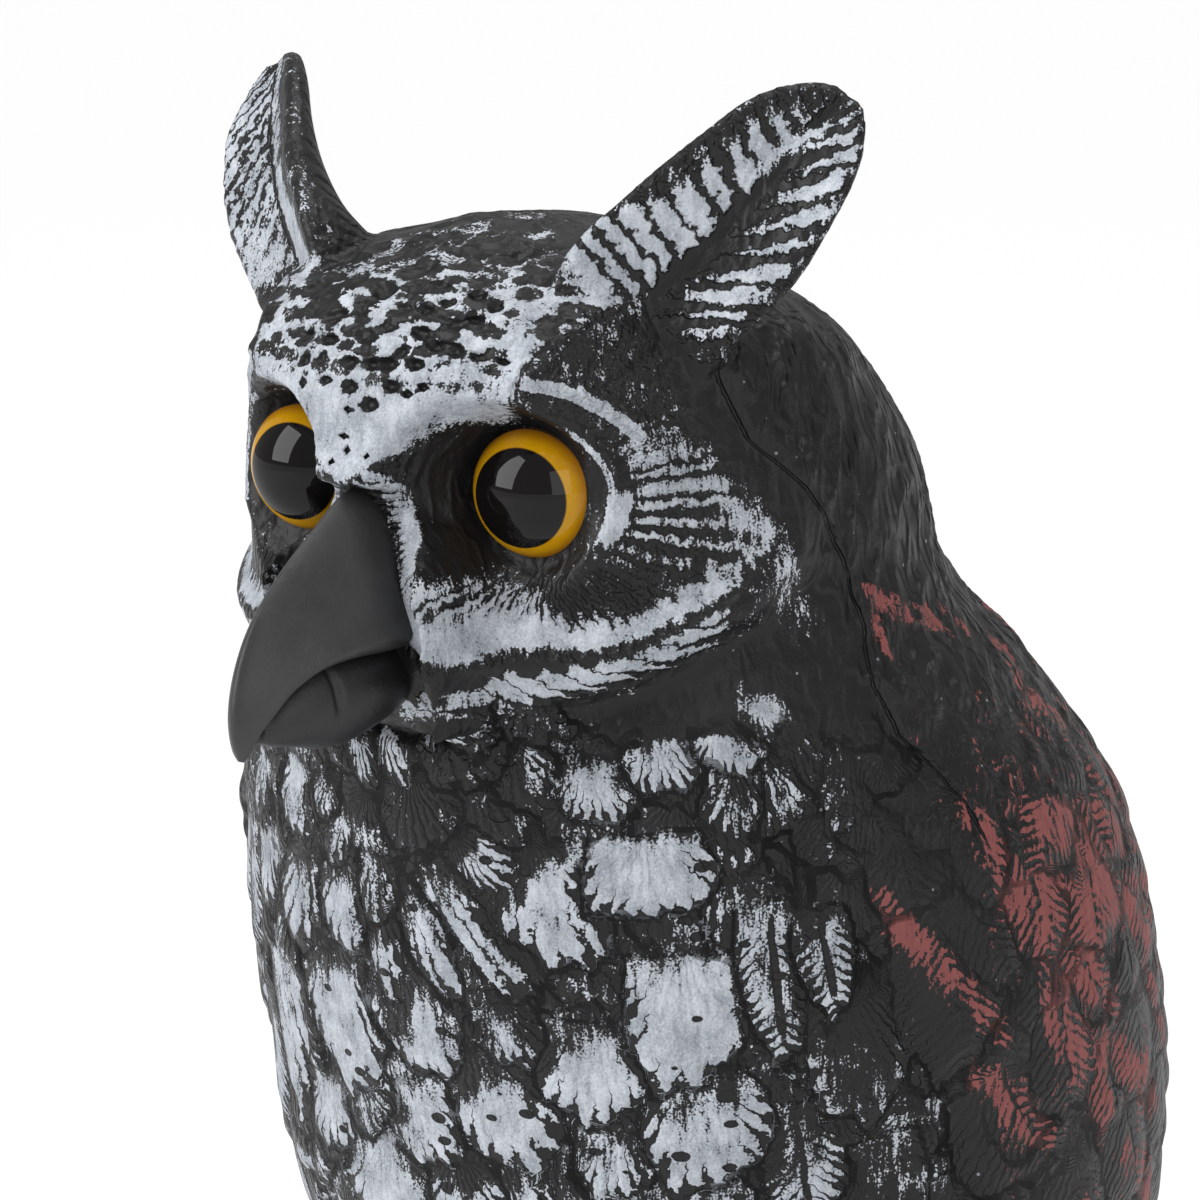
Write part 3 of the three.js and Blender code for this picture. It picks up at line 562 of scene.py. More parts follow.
def ridges(chosen, stretch, seed):
    """Ridges of folded noise over the chosen points of the skin, from 0 in the hollows to 1 on the crests."""
    result = np.zeros(count)
    for n in np.nonzero(chosen)[0]:
        spot = Vector((skin[n] + (0.35 * skin[n, 2], -0.35 * skin[n, 2], 0)) / stretch)
        result[n] = 1 - min(1, 2.2 * abs(noise.noise(spot + Vector((seed, 0, 0)))))
    return result


on_head = 1 - smooth(10.3, 11.4, place)
above_brow = smooth(-1.5, 1, above_brow_edge(x, z) - 2.4 * smooth(7, 15, x)) * (1 - smooth(46, 56, off_front))
around_eye = np.hypot(x - eye_centre[0], z - eye_centre[2])
forehead = on_head * above_brow * (1 - on_ear)
nape = np.maximum(smooth(0, 4, behind_seam) * smooth(244, 262, z), smooth(70, 84, off_front) * on_head)
nape = np.maximum(nape, smooth(352, 364, z) * smooth(-72, -60, skin[:, 1])) * (1 - feathered) * (1 - on_ear)
folds = nape * ridges(nape > 0.05, (6.5, 6.5, 15), 0)
mounds = forehead * smooth(343, 352, z) * (ridges(forehead > 0.05, (5.5, 5.5, 4.5), 50) - 0.5)
by_seam = smooth(252, 260, z) * smooth(360, 350, z) * (1 - on_ear)
lap = smooth(-0.6, 0.6, behind_seam) * by_seam * (1 - smooth(20, 50, behind_seam))
nape_rise = 1.0 * folds * (1 - 0.6 * smooth(345, 362, z))
skin += normal * (feathered * relief + 1.1 * lap + nape_rise + 0.9 * mounds - 1.0 * pit * forehead)[:, None]
mark(body.data, "barbs", [barb, shaft_off, inwards])
mark(body.data, "feather", [share, feathered, feather_kind])
mark(body.data, "pit", [from_pit, forehead, nape])
mark(body.data, "back", [behind_seam, by_seam, on_ear * smooth(-0.15, -0.5, ear_face)])


def most(*values):
    result = values[0]
    for value in values[1:]:
        result = np.maximum(result, value)
    return result


# Where the brush of white and of red-brown paint has touched.
in_front = 1 - smooth(-14, -4, behind_seam)
rim_x = [10.6, 13.6, 22.3, 30.7, 36.5, 45.8, 52.3, 57.6, 59.5, 61]
above_rim = z - np.interp(x, rim_x, [302.3, 296.7, 295, 297.7, 296.8, 298.4, 302.4, 306.9, 311.8, 320])
rim_high = np.interp(x, rim_x, [13, 13, 15, 11, 6, 5.5, 8.5, 12, 15, 13])
disc = on_head * (1 - above_brow) * in_front * smooth(-2.5, -1.2, above_rim) * (1 - on_ear)
up_rim = above_rim / rim_high
rim_band = smooth(-0.5, 0.6, above_rim) * (1 - smooth(0.5, 1.3, up_rim)) * smooth(10, 12, x) * (z < 334)
beak_strip = distance_to([(4, 331), (6.8, 326), (9.8, 318), (12.6, 310), (14.6, 302)], x, z)
beak_strip = bump(np.maximum(0, beak_strip - 1.2), 1.1) * smooth(-115, -118, skin[:, 1])
brow_band = distance_to([(20, 342.5), (26.5, 347), (27.5, 352), (29.5, 358), (37, 364), (44, 370)], x, z)
brow_band = bump(np.maximum(0, brow_band - 2.6), 2.4)
rays = disc * smooth(17, 21, around_eye) * (1 - smooth(38, 46, around_eye))
white = forehead * (1.0 - 0.1 * smooth(341, 350, z) - 0.18 * smooth(353, 361, z) - 0.34 * smooth(361, 369, z))
outer_rays = rays * smooth(8, 14, x - eye_centre[0]) * bump(z - 326, 15)
outer_cluster = disc * smooth(52, 56, x) * bump(z - 321, 7)
cheek_edge = 0.5 * on_head * in_front * bump(x - 62, 3.5) * bump(z - 312, 14)
below_eye = 0.3 * disc * bump(around_eye - 30, 14) * (x > 20)
lone_dab = 1.2 * in_front * (1 - feathered) * bump(off_front - 55.5, 3.6) * bump(z - 283.5, 3.8)
on_disc = most(rim_band * (1 - 0.3 * smooth(50, 58, x)), 0.85 * outer_rays, beak_strip, 0.85 * outer_cluster)
white = most(white, disc * on_disc, cheek_edge, below_eye, lone_dab)
far_ear = skin[:, 0] < 0
inner_reach = ear_across + (0.45 - 0.3 * far_ear) * smooth(0.5, 0.2, ear_along)
inner_half = (ear_across < 0) * smooth(-0.75 + 0.2 * far_ear, -0.5 + 0.25 * far_ear, inner_reach)
inner_half *= 1 - smooth(0.66 + 0.2 * far_ear, 0.8 + 0.15 * far_ear, ear_along)
outer_half = smooth(0.12, 0.25, ear_along) * (1 - smooth(0.78, 0.95, ear_along))
outer_half *= smooth(0.15 - 0.25 * far_ear, 0.4 - 0.3 * far_ear, ear_across)
outer_half *= 1 - (1 - 0.8 * far_ear) * smooth(0.8, 0.93, ear_across)
tip_band = bump(ear_across - np.interp(ear_along, [0.55, 0.95], [-0.28, 0.55]), 0.17)
tip_band *= smooth(0.5, 0.62, ear_along) * (1 - smooth(0.93, 0.98, ear_along)) * (1 - far_ear)
tip_band *= ear_face > -0.2
tip_flecks = 0.55 * bump(ear_across - 0.7, 0.5) * bump(ear_along - 0.88, 0.1)
ear_paint = most(inner_half, 0.85 * outer_half, tip_flecks, 0.3) * (ear_face > -0.2)
ear_paint = np.maximum(ear_paint, 0.95 * tip_band)
white = np.where(on_ear > 0.3, ear_paint, white)
white = np.maximum(white, 0.95 * brow_band * (skin[:, 1] < -head_forward - 20) * (1 - smooth(366, 374, z)))
along_feather = np.where(feather_kind == 3, smooth(0.0, 0.3, share), smooth(0.02, 0.55, share))
before_wing = 1 - smooth(edge - 6, edge + 1, off_front)
# Less white paint where a feather lies in the shade under the edge of the one above: painted shade of that
# edge.
along_feather *= 0.3 + 0.7 * smooth(0.1, 1, under)
edged = 0.35 + 2 * bump(inwards, 1.6) * smooth(0.4, 0.65, share)
along_feather = np.where(feather_kind == 2, edged, along_feather)
dusting = 0.28 + 0.06 * (1 - smooth(36, 50, off_front))
white = np.where(feathered > 0.5, np.maximum(feather_white * along_feather, dusting) * before_wing, white)
red = np.zeros(count)
body_radius = 82
round_body = np.radians(off_front) * body_radius
for turn_a, height_a, turn_b, height_b, half_wide in red_sweeps:
    ends = [(np.radians(turn_a) * body_radius, height_a), (np.radians(turn_b) * body_radius, height_b)]
    off_sweep = np.maximum(0, distance_to(ends, round_body, z) - 0.6 * half_wide)
    red = np.maximum(red, bump(off_sweep, 0.8 * half_wide))
red *= np.where(feathered > 0.5, 0.72 + 0.28 * smooth(0, 0.4, share), 0.85) * (off_front > 50)
red_dust = 0.32 * feathered * smooth(60, 90, off_front) * smooth(120, 200, z) * smooth(0.3, 0.8, share)
red = np.maximum(red, red_dust)
collar_white = on_head * in_front * smooth(-1.5, -3, above_rim) * smooth(0, 5, x) * (1 - smooth(55, 61, x))
mark(body.data, "collar", [collar_along, collar_above, collar_white])
mark(body.data, "ear", [ear_across, ear_along, on_ear * (1 - 0.85 * tip_band)])
mark(body.data, "rays", rays)
mark(body.data, "rim", np.maximum(disc * rim_band * (1 - smooth(0.35, 0.75, up_rim)), outer_cluster))
mark(body.data, "white", white)
mark(body.data, "red", red)
body.data.vertices.foreach_set("co", (skin * 0.001).astype(np.float32).ravel())
body.data.update()
thin_out = body.modifiers.new("thin out", "DECIMATE")
thin_out.ratio = min(1, most_triangles / (2 * len(body.data.polygons)))
settle(body)
shade_smooth(body)


# Paint on the moulding
# Off-white and red-brown paint is dragged over the black plastic with a nearly dry brush, so it takes on
# the raised barbs and tips and leaves the hollows black.


def new_material(name):
    """A new material. The helpers below add their nodes to the one that was made last, kept in tree."""
    material = bpy.data.materials.new(name)
    material.use_nodes = True
    return material, material.node_tree, material.node_tree.nodes["Principled BSDF"]


def feed(entry, value):
    if isinstance(value, (int, float)):
        entry.default_value = value
    elif isinstance(value, tuple):
        entry.default_value = (*value, 1)
    else:
        tree.links.new(value, entry)


def calc(operation, *values):
    node = tree.nodes.new("ShaderNodeMath")
    node.operation = operation
    for entry, value in zip(node.inputs, values):
        feed(entry, value)
    return node.outputs[0]


def less(value, taken):
    return calc("SUBTRACT", value, taken)


def larger(first, second):
    return calc("MAXIMUM", first, second)


def apart(value, middle=0.0):
    """How far the value is from the middle, either way."""
    return calc("ABSOLUTE", less(value, middle) if middle else value)


def chain(operation, values):
    result = values[0]
    for value in values[1:]:
        result = calc(operation, result, value)
    return result


def total(*values):
    return chain("ADD", values)


def times(*values):
    return chain("MULTIPLY", values)


def step(value, low, high):
    node = tree.nodes.new("ShaderNodeMapRange")
    node.interpolation_type = "SMOOTHSTEP"
    node.inputs["From Min"].default_value = low
    node.inputs["From Max"].default_value = high
    tree.links.new(value, node.inputs["Value"])
    return node.outputs["Result"]


def either(choice, first, second):
    """first where choice is 0, second where it is 1."""
    node = tree.nodes.new("ShaderNodeMix")
    tree.links.new(choice, node.inputs[0])
    for entry, value in zip(node.inputs[2:4], (first, second)):
        feed(entry, value)
    return node.outputs[0]


def tint(amount, first, second):
    """The first colour where the amount is 0, the second where it is 1."""
    node = tree.nodes.new("ShaderNodeMix")
    node.data_type = "RGBA"
    tree.links.new(amount, node.inputs[0])
    for entry, colour in zip(node.inputs[6:8], (first, second)):
        feed(entry, colour)
    return node.outputs[2]


def marked(name, output):
    node = tree.nodes.new("ShaderNodeAttribute")
    node.attribute_name = name
    return node.outputs[output]


def split(vector):
    node = tree.nodes.new("ShaderNodeSeparateXYZ")
    tree.links.new(vector, node.inputs[0])
    return node.outputs


def grain(place, scale, detail=3.0, roughness=0.6):
    node = tree.nodes.new("ShaderNodeTexNoise")
    node.inputs["Scale"].default_value = scale
    node.inputs["Detail"].default_value = detail
    node.inputs["Roughness"].default_value = roughness
    tree.links.new(place, node.inputs["Vector"])
    return node.outputs["Fac"]


def stretched(scale, rotation=(0, 0, 0)):
    """The place on the piece, stretched along its axes."""
    node = tree.nodes.new("ShaderNodeMapping")
    node.inputs["Rotation"].default_value = rotation
    node.inputs["Scale"].default_value = scale
    tree.links.new(here, node.inputs["Vector"])
    return node.outputs[0]


def cells(place, scale, randomness=1.0):
    """Distance from the middle of scattered cells, and a chance colour for each cell."""
    node = tree.nodes.new("ShaderNodeTexVoronoi")
    node.inputs["Scale"].default_value = scale
    node.inputs["Randomness"].default_value = randomness
    tree.links.new(place, node.inputs["Vector"])
    return node.outputs["Distance"], node.outputs["Color"]


def press(height, distance):
    """Raises the surface by the height, for light only."""
    node = tree.nodes.new("ShaderNodeBump")
    node.inputs["Distance"].default_value = distance
    tree.links.new(height, node.inputs["Height"])
    tree.links.new(node.outputs[0], shader.inputs["Normal"])


def scattered(value):
    """A chance number from 0 to 1 for each whole number."""
    node = tree.nodes.new("ShaderNodeTexWhiteNoise")
    node.noise_dimensions = "1D"
    tree.links.new(value, node.inputs["W"])
    return node.outputs["Value"]


barb_spacing, ray_number, tuft_spacing = 2.5, 46, 5.2
lid_reach = 0.028
black_moulding = (0.006, 0.006, 0.0065), (0.013, 0.013, 0.014)
red_brown = (0.15, 0.041, 0.040), (0.31, 0.096, 0.089)
off_white = (0.24, 0.262, 0.295), (0.53, 0.56, 0.61)


def arc(radius, half_width, low_turn, high_turn):
    """A band of paint round the eye, between two turns from level."""
    off = apart(total(out_eye, -radius * 0.001, times(fray, 0.0015)))
    band = step(off, half_width * 0.001, half_width * 0.0005)
    band = times(band, step(ray_turn, low_turn - 0.15, low_turn + 0.1))
    return times(band, step(ray_turn, high_turn + 0.15, high_turn - 0.1))


def brushed(amount, needed, more=0.0):
    reach = less(total(times(amount, 1.5), catch, -needed, more), hollows)
    return times(step(reach, -0.10, 0.24), step(amount, 0.03, 0.10))


# The skin wears one pattern in three coats: for feathers alone, for the face and ears alone, and for the edge
# where both are. What a coat leaves out has no share in the faces that wear it, so they render faster.
coats = ("painted feathers", True, False), ("painted face", False, True), ("painted edge", True, True)
for name, plumage, face in coats:
    painted, tree, shader = new_material(name)
    here = tree.nodes.new("ShaderNodeTexCoord").outputs["Object"]
    where = split(here)
    rough_grain = grain(here, 420, 2.0)
    fine_grain = grain(here, 1500, 1.0)
    fray = less(rough_grain, 0.5)
    fine_fray = less(fine_grain, 0.5)

    # Barbs on each feather, spreading from its root or slanting off its shaft, with notched tips.
    barb = split(marked("barbs", "Vector"))
    place_on = split(marked("feather", "Vector"))
    feathered = place_on[1] if plumage else 0.0
    long_kind = step(place_on[2], 2.4, 2.6)
    barb_count = total(times(barb[0], 1 / barb_spacing), times(fray, 1.1))
    barb_share = apart(calc("FRACT", barb_count), 0.5)
    crest = total(times(calc("COSINE", times(barb_share, 2 * np.pi)), 0.5), 0.5)
    barb_chance = scattered(calc("FLOOR", barb_count))
    notch_length = total(times(barb_chance, 4.6), 1.6)
    notch_depth = less(1.0, calc("DIVIDE", barb[2], notch_length))
    notch = total(barb_share, times(larger(notch_depth, -0.2), 0.40), -0.5)
    notch = times(step(notch, -0.05, 0.07), step(place_on[0], 0.38, 0.5), feathered)
    shafted = larger(long_kind, calc("COMPARE", place_on[2], 1.0, 0.2))
    shaft = times(shafted, step(barb[1], 1.0, 0.4), step(place_on[0], 0.92, 0.8))
    off_edge = total(barb[2], times(fray, 2.6), times(fine_fray, 0.8), times(barb_chance, -0.8))
    gap = times(step(off_edge, 0.6, -0.1), total(times(long_kind, -0.7), 1.0))
    slot_off, slot_chance = cells(stretched((1.0, 1.0, 1.75), (0.25, 0.3, 0)), 132)
    slot_size = total(times(split(slot_chance)[0], 0.33), -0.045)
    slots = less(total(slot_off, times(fray, 0.12)), slot_size)
    slots = times(step(slots, 0.025, -0.025), step(place_on[0], 0.3, 0.45), feathered)
    slots = times(slots, less(1.0, long_kind))
    ridge = times(crest, total(times(long_kind, -0.12), 0.22))
    height_on = total(ridge, times(notch, -0.34), times(shaft, -0.35))
    edge_dip = step(barb[2], 2.0, -0.6)
    height_on = total(height_on, times(slots, -0.6), times(edge_dip, -0.12))
    height_on = times(feathered, height_on)

    # Rays round the eyes, coarser on the outer side, and the folds of the lids.
    out_x = less(apart(where[0]), eye_centre[0] * 0.001)
    out_z = less(where[2], eye_centre[2] * 0.001)
    out_eye = calc("SQRT", total(times(out_x, out_x), times(out_z, out_z)))
    ray_turn = calc("ARCTAN2", out_z, out_x)
    ray_count = total(ray_turn, calc("MINIMUM", total(ray_turn, 0.7), 0.0))
    ray_count = total(times(ray_count, ray_number / (2 * np.pi)), times(fray, 1.3))
    ray_share = apart(calc("FRACT", ray_count), 0.5)
    ray_wide = total(times(scattered(calc("FLOOR", ray_count)), 0.34), 0.19)
    ray = step(less(ray_share, ray_wide), 0.14, -0.12)
    ray_round = calc("COSINE", times(ray_share, 2 * np.pi))
    rays = marked("rays", "Fac") if face else 0.0
    off_rim = less(1.0, marked("rim", "Fac"))
    lid_arcs = larger(arc(22.4, 1.8, 0.5, 1.35), times(arc(16.4, 0.9, 0.1, 1.0), 0.68))
    lid_arcs = larger(lid_arcs, arc(17.3, 1.8, -0.45, 0.05))
    lid_arcs = times(lid_arcs, step(where[1], -0.070, -0.085)) if face else 0.0

    # Pits pressed in the forehead, and level rows of small ridges between them.
    pit = split(marked("pit", "Vector"))
    forehead = pit[1] if face else 0.0
    pits = times(step(total(pit[0], times(fray, 1.6)), 1.45, 0.95), forehead)
    pits_round = times(step(pit[0], 1.7, 0.2), forehead)
    rows = apart(grain(stretched((0.55, 0.8, 1.6)), 125, 1.0), 0.5)
    rows = step(rows, 0.12, 0.0)
    up_crown = step(where[2], 0.341, 0.352)
    scoop_off, _ = cells(stretched((0.85, 1.0, 1.9)), 165, 0.8)
    scoops = times(step(total(scoop_off, times(fray, 0.7)), 0.585, 0.385), forehead, up_crown)
    scoops_round = times(step(scoop_off, 0.7, 0.2), forehead, up_crown)

    # Strokes on each ear, slanting off a broad shaft, wide on the inner half and narrow on the outer.
    blade = split(marked("ear", "Vector"))
    ear_here = blade[2] if face else 0.0
    ear_side = apart(blade[0])
    inner_side = step(blade[0], 0.05, -0.05)
    far_side = step(where[0], 0.0, -0.001)
    pace = times(either(inner_side, 13.0, 16.0), total(times(far_side, 0.4), 1.0))
    lean = times(ear_side, either(inner_side, total(times(far_side, 5.5), -2.7), -1.0))
    slant = total(times(blade[1], pace), lean)
    slant = total(slant, times(fray, total(times(far_side, 0.8), 1.1)), times(inner_side, 31.0))
    stroke_share = apart(calc("FRACT", slant), 0.5)
    stroke_wide = times(scattered(calc("FLOOR", slant)), 0.2)
    taper = larger(times(step(ear_side, 0.1, 0.8), 0.22), times(far_side, 0.2))
    taper = either(inner_side, taper, 0.24)
    stroke_wide = total(stroke_wide, taper)
    ear_barb = step(less(stroke_share, stroke_wide), 0.09, -0.06)
    filled = total(times(inner_side, 0.3), 0.35, times(step(blade[1], 0.5, 0.3), 0.4))
    ear_barb = larger(ear_barb, times(far_side, filled))
    ear_barb = times(ear_barb, step(total(ear_side, times(far_side, 0.12)), 0.07, 0.16))
    behind = split(marked("back", "Vector"))
    back_lines = total(times(blade[1], 22.0), times(blade[0], 2.6), times(fray, 0.5))
    back_lines = calc("COSINE", times(back_lines, 2 * np.pi))
    back_lines = times(back_lines, behind[2]) if face else 0.0

    # Tufts of the collar, and wrinkles of the nape and round the feathers.
    collar = split(marked("collar", "Vector"))
    below_disc = collar[2] if face else 0.0
    tuft_count = total(times(collar[0], 1 / tuft_spacing), times(collar[1], 0.16), times(fray, 1.1))
    tuft_share = calc("FRACT", tuft_count)
    tuft_chance = scattered(calc("FLOOR", tuft_count))
    tuft_reach = total(times(tuft_share, 2.4), times(tuft_chance, 1.4), 0.2)
    tuft_off = apart(total(collar[1], times(tuft_chance, -1.0), -0.6))
    tuft = step(less(tuft_off, tuft_reach), 0.5, -0.5)
    tuft = times(tuft, step(tuft_share, 0.02, 0.14), below_disc)
    near_collar = times(step(apart(collar[1]), 7.0, 3.0), below_disc)
    wrinkles = apart(grain(stretched((1.0, 1.0, 0.42), (0.45, -0.45, 0)), 210, 1.0, 0.5), 0.5)
    wrinkles = step(wrinkles, 0.16, 0.0)
    wrinkled = total(times(pit[2], 0.7), times(less(1.0, feathered), 0.2))

    # The back of the moulding laps over the front along the parting line.
    crevice = times(step(behind[0], -0.75, -0.45), step(behind[0], 0.0, -0.3), behind[1])

    # Height of the carving, how readily the brush catches there, and the hollows it passes over.
    carving = total(height_on, times(rays, ray_round, off_rim, 0.32), times(pits_round, -0.9))
    carving = total(carving, times(scoops_round, -0.6))
    carving = total(carving, times(forehead, rows, up_crown, 0.35))
    carving = total(carving, times(ear_here, ear_barb, 0.8), times(tuft, 0.6))
    carving = total(carving, times(back_lines, 0.3))
    carving = total(carving, times(wrinkled, wrinkles), times(crevice, -0.7))
    strokes = grain(stretched((1.0, 1.0, 0.14)), 800, 3.0, 0.65)
    sweeps = grain(stretched((1.0, 1.0, 0.16), (0.3, -0.35, 0)), 380, 2.0, 0.6)
    blotches = grain(here, 150, 3.0, 0.6)
    speckle = grain(here, 2300, 0.0)
    catch = times(less(strokes, 0.5), 2.1)
    catch = total(catch, times(less(blotches, 0.5), 1.7))
    catch = total(catch, times(less(speckle, 0.5), 1.1))
    patchy = less(grain(here, 62, 1.0), 0.5)
    patchy = times(patchy, feathered, less(1.15, place_on[0]), 3.2)
    catch = total(catch, patchy)
    closed = times(gap, total(times(step(blotches, 0.44, 0.56), 1.5), 0.15))
    hollows = times(feathered, total(times(slots, 2.4), closed, times(shaft, 1.6)))
    hollows = total(hollows, times(notch, 2.4))
    in_ray_hollow = times(less(1.0, ray), off_rim)
    hollows = total(hollows, times(rays, in_ray_hollow, less(1.0, lid_arcs), 1.1))
    hollows = total(hollows, times(pits, 2.2), times(scoops, 1.3))
    hollows = total(hollows, times(forehead, up_crown, total(rows, -0.5), -0.4))
    hollows = total(hollows, times(ear_here, less(1.0, ear_barb), 1.5))
    hollows = total(hollows, times(crevice, 3.0))

    amount = larger(marked("white", "Fac"), larger(lid_arcs, times(tuft, 0.9)))
    white = brushed(larger(amount, times(near_collar, 0.12)), 0.75)
    dust_off, dust_chance = cells(here, 230)
    dust_size = total(times(split(dust_chance)[1], 0.16), -0.075)
    dust = step(less(dust_off, dust_size), 0.015, -0.015)
    white = larger(white, times(dust, 0.55))
    red_catch = total(times(total(sweeps, -0.5), 3.2), times(feathered, total(crest, -0.6), 0.7))
    red = brushed(marked("red", "Fac"), 0.97, red_catch)
    plastic = tint(grain(here, 60, 2.0), *black_moulding)
    red_paint = tint(strokes, *red_brown)
    thickness = total(times(strokes, 0.5), times(blotches, 0.9), times(speckle, 0.4), -0.4)
    white_paint = tint(step(thickness, 0.2, 0.85), *off_white)
    colour = tint(times(white, 0.97), tint(times(red, 0.93), plastic, red_paint), white_paint)
    tree.links.new(colour, shader.inputs["Base Color"])
    paint = larger(white, red)
    tree.links.new(either(paint, total(times(rough_grain, 0.22), 0.31), 0.62), shader.inputs["Roughness"])
    shader.inputs["Specular IOR Level"].default_value = 0.25
    press(total(carving, times(fine_grain, 0.07), times(rough_grain, 0.22)), 0.0011)
    body.data.materials.append(painted)


def left_on(name, part=None):
    """The values of a mark that are left on the corners of the finished skin."""
    layer = body.data.attributes[name].data
    values = np.zeros(len(layer) * (1 if part is None else 3), np.float32)
    layer.foreach_get("value" if part is None else "vector", values)
    return values if part is None else values[part::3]


corners_used = np.zeros(len(body.data.loops), np.int32)
first_used = np.zeros(len(body.data.polygons), np.int32)
spots = np.zeros(3 * len(body.data.vertices), np.float32)
body.data.loops.foreach_get("vertex_index", corners_used)
body.data.polygons.foreach_get("loop_start", first_used)
body.data.vertices.foreach_get("co", spots)
off_eye = np.hypot(np.abs(spots[0::3]) - eye_centre[0] * 0.001, spots[2::3] - eye_centre[2] * 0.001)
of_face = (off_eye < lid_reach) & (spots[1::3] < -0.065)
for name, part in (("pit", 1), ("rays", None), ("ear", 2), ("back", 2), ("collar", 2)):
    of_face |= left_on(name, part) != 0
of_plumage = left_on("feather", 1) != 0
of_face = np.maximum.reduceat(of_face[corners_used], first_used)
of_plumage = np.maximum.reduceat(of_plumage[corners_used], first_used)
body.data.polygons.foreach_set("material_index", np.where(of_face, np.where(of_plumage, 2, 1), 0))
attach(body, "root")
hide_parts("body")


# Beak
# A separate moulding in matt dark grey plastic: a hooked upper mandible that closes over the lower one.
# Its plug is pushed into the face, and a dark gap is left round it.

# Each station: upper edge (y, z), lower edge (y, z), share of the half width.
upper_mandible = np.array([
    [-59, 326, -61, 296, 1], [-73, 326, -75, 295.8, 1], [-82.5, 320.6, -84, 295.8, 0.86],
    [-92, 314, -91.5, 294.6, 0.69], [-99.8, 306.9, -97.5, 291.5, 0.52],
    [-104.7, 299.4, -101.2, 287.5, 0.38], [-107.2, 291.5, -103.6, 284.5, 0.26],
    [-107.2, 285, -104.6, 281.6, 0.15], [-105.6, 280.6, -105, 280.3, 0.05],
])
lower_mandible = np.array([
    [-60, 300, -58, 288.5, 0.8], [-67, 300, -65, 284.5, 0.82], [-74, 300, -72, 281.4, 0.82],
    [-80, 299.4, -78.5, 279.7, 0.8], [-86, 298.4, -84.5, 279.3, 0.71], [-91.5, 296.5, -90.5, 280.6, 0.58],
    [-97, 292, -97, 281.8, 0.36], [-100.5, 287.5, -100.5, 283, 0.14],
])
beak_half_width = 13.5
beak_grey = (0.014, 0.014, 0.0145), (0.028, 0.028, 0.029)
# The root grey and the lower grey are painted shade: darker in the gap round the root, and darker on the
# lower mandible.
scratch_grey, root_shade_grey, lower_shade_grey = (0.06, 0.06, 0.062), (0.007, 0.007, 0.0075), (0.006, 0.006, 0.0065)


def mandible(table, pointed, inset):
    """A mandible lofted through its stations. A pointed one narrows to a ridge along the top."""
    rings = []
    ring_turn = np.linspace(0, 2 * np.pi, 64, endpoint=False)
    out, lift = np.sin(ring_turn), (np.cos(ring_turn) + 1) / 2
    stations = curve_through(table, np.linspace(0, len(table) - 1, 90))
    for n, (y1, z1, y0, z0, share) in zip(np.linspace(0, 1, 90), stations):
        if pointed:
            power = 0.74 - 0.22 * smooth(0.25, 0.9, n)
            keel = np.sqrt(1 - np.clip((0.17 - lift) / 0.17, 0, 1) ** 2)
            out = np.sign(np.round(np.sin(ring_turn), 9)) * (1 - lift) ** power * keel / 0.88
        width = (beak_half_width - inset) * share
        if not pointed:
            width = width - 1.1 * bump(n - 0.62, 0.022) * smooth(0.3, 0.6, lift)
        rings.append(np.stack([width * out, y0 + (y1 - y0) * lift - head_forward, z0 + (z1 - z0) * lift], 1))
    return loft(rings)


upper, lower = mandible(upper_mandible, True, 0), mandible(lower_mandible, False, 0.4)
start = len(upper[0])
lower_faces = [tuple(start + n for n in face) for face in lower[1]]
beak = new_piece("beak_moulding", np.vstack([upper[0], lower[0]]), upper[1] + lower_faces)
shade_smooth(beak)
mark(beak.data, "lower", np.arange(len(beak.data.vertices)) >= start)
beak_plastic, tree, shader = new_material("matt grey plastic")
here = tree.nodes.new("ShaderNodeTexCoord").outputs["Object"]
cloudy = grain(here, 55, 4.0)
scuffs = grain(here, 900, 3.0)
grey = tint(step(cloudy, 0.3, 0.7), *beak_grey)
scratches = step(grain(stretched((1.0, 1.0, 0.07), (0.9, 0.4, 0)), 420, 2.0), 0.70, 0.76)
grey = tint(times(scratches, 0.4), grey, scratch_grey)
# Painted shade: the beak is darkened towards its root, where it sits in the dark gap in the face, and over
# the whole lower mandible.
root_in_shade = step(split(here)[1], -0.130, -0.113)
grey = tint(times(root_in_shade, 0.65), grey, root_shade_grey)
grey = tint(times(marked("lower", "Fac"), 0.9), grey, lower_shade_grey)
tree.links.new(grey, shader.inputs["Base Color"])
tree.links.new(total(times(cloudy, 0.2), 0.36), shader.inputs["Roughness"])
press(total(times(scuffs, 0.5), cloudy), 0.0002)
beak.data.materials.append(beak_plastic)
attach(beak, "root")
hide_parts("beak")


# Eyes
# Each eye is a polished plastic dome with a black pupil and an amber ring, glued into a round seat beside
# the muzzle. The pair is set turned a little to the owl's left.

eye_rise, eye_seat, eye_sides = 8.0, 6.0, 96
eye_splay, eye_gaze, eye_drop = np.radians([1, 8, 3.5])
clear_amber = (0.40, 0.185, 0.001), (0.52, 0.27, 0.004)
rim_amber, pupil_black, edge_brown = (0.30, 0.12, 0.005), (0.004, 0.003, 0.003), (0.13, 0.07, 0.035)
eye_glass, tree, shader = new_material("eye plastic")
here = tree.nodes.new("ShaderNodeTexCoord").outputs["Object"]
ring = total(marked("from_centre", "Fac"), times(grain(here, 300), 0.012), -0.006)
amber = tint(grain(here, 500, 4.0), *clear_amber)
amber = tint(step(ring, 0.86, 1.0), amber, rim_amber)
iris = tint(step(ring, 0.765, 0.79), pupil_black, amber)
iris = tint(step(ring, 0.985, 1.01), iris, edge_brown)
tree.links.new(iris, shader.inputs["Base Color"])
shader.inputs["Roughness"].default_value = 0.12
shader.inputs["Specular IOR Level"].default_value = 0.0
shader.inputs["Coat Weight"].default_value = 0.5
shader.inputs["Coat Roughness"].default_value = 0.02
ball = (eye_rise**2 + eye_radius**2) / (2 * eye_rise)
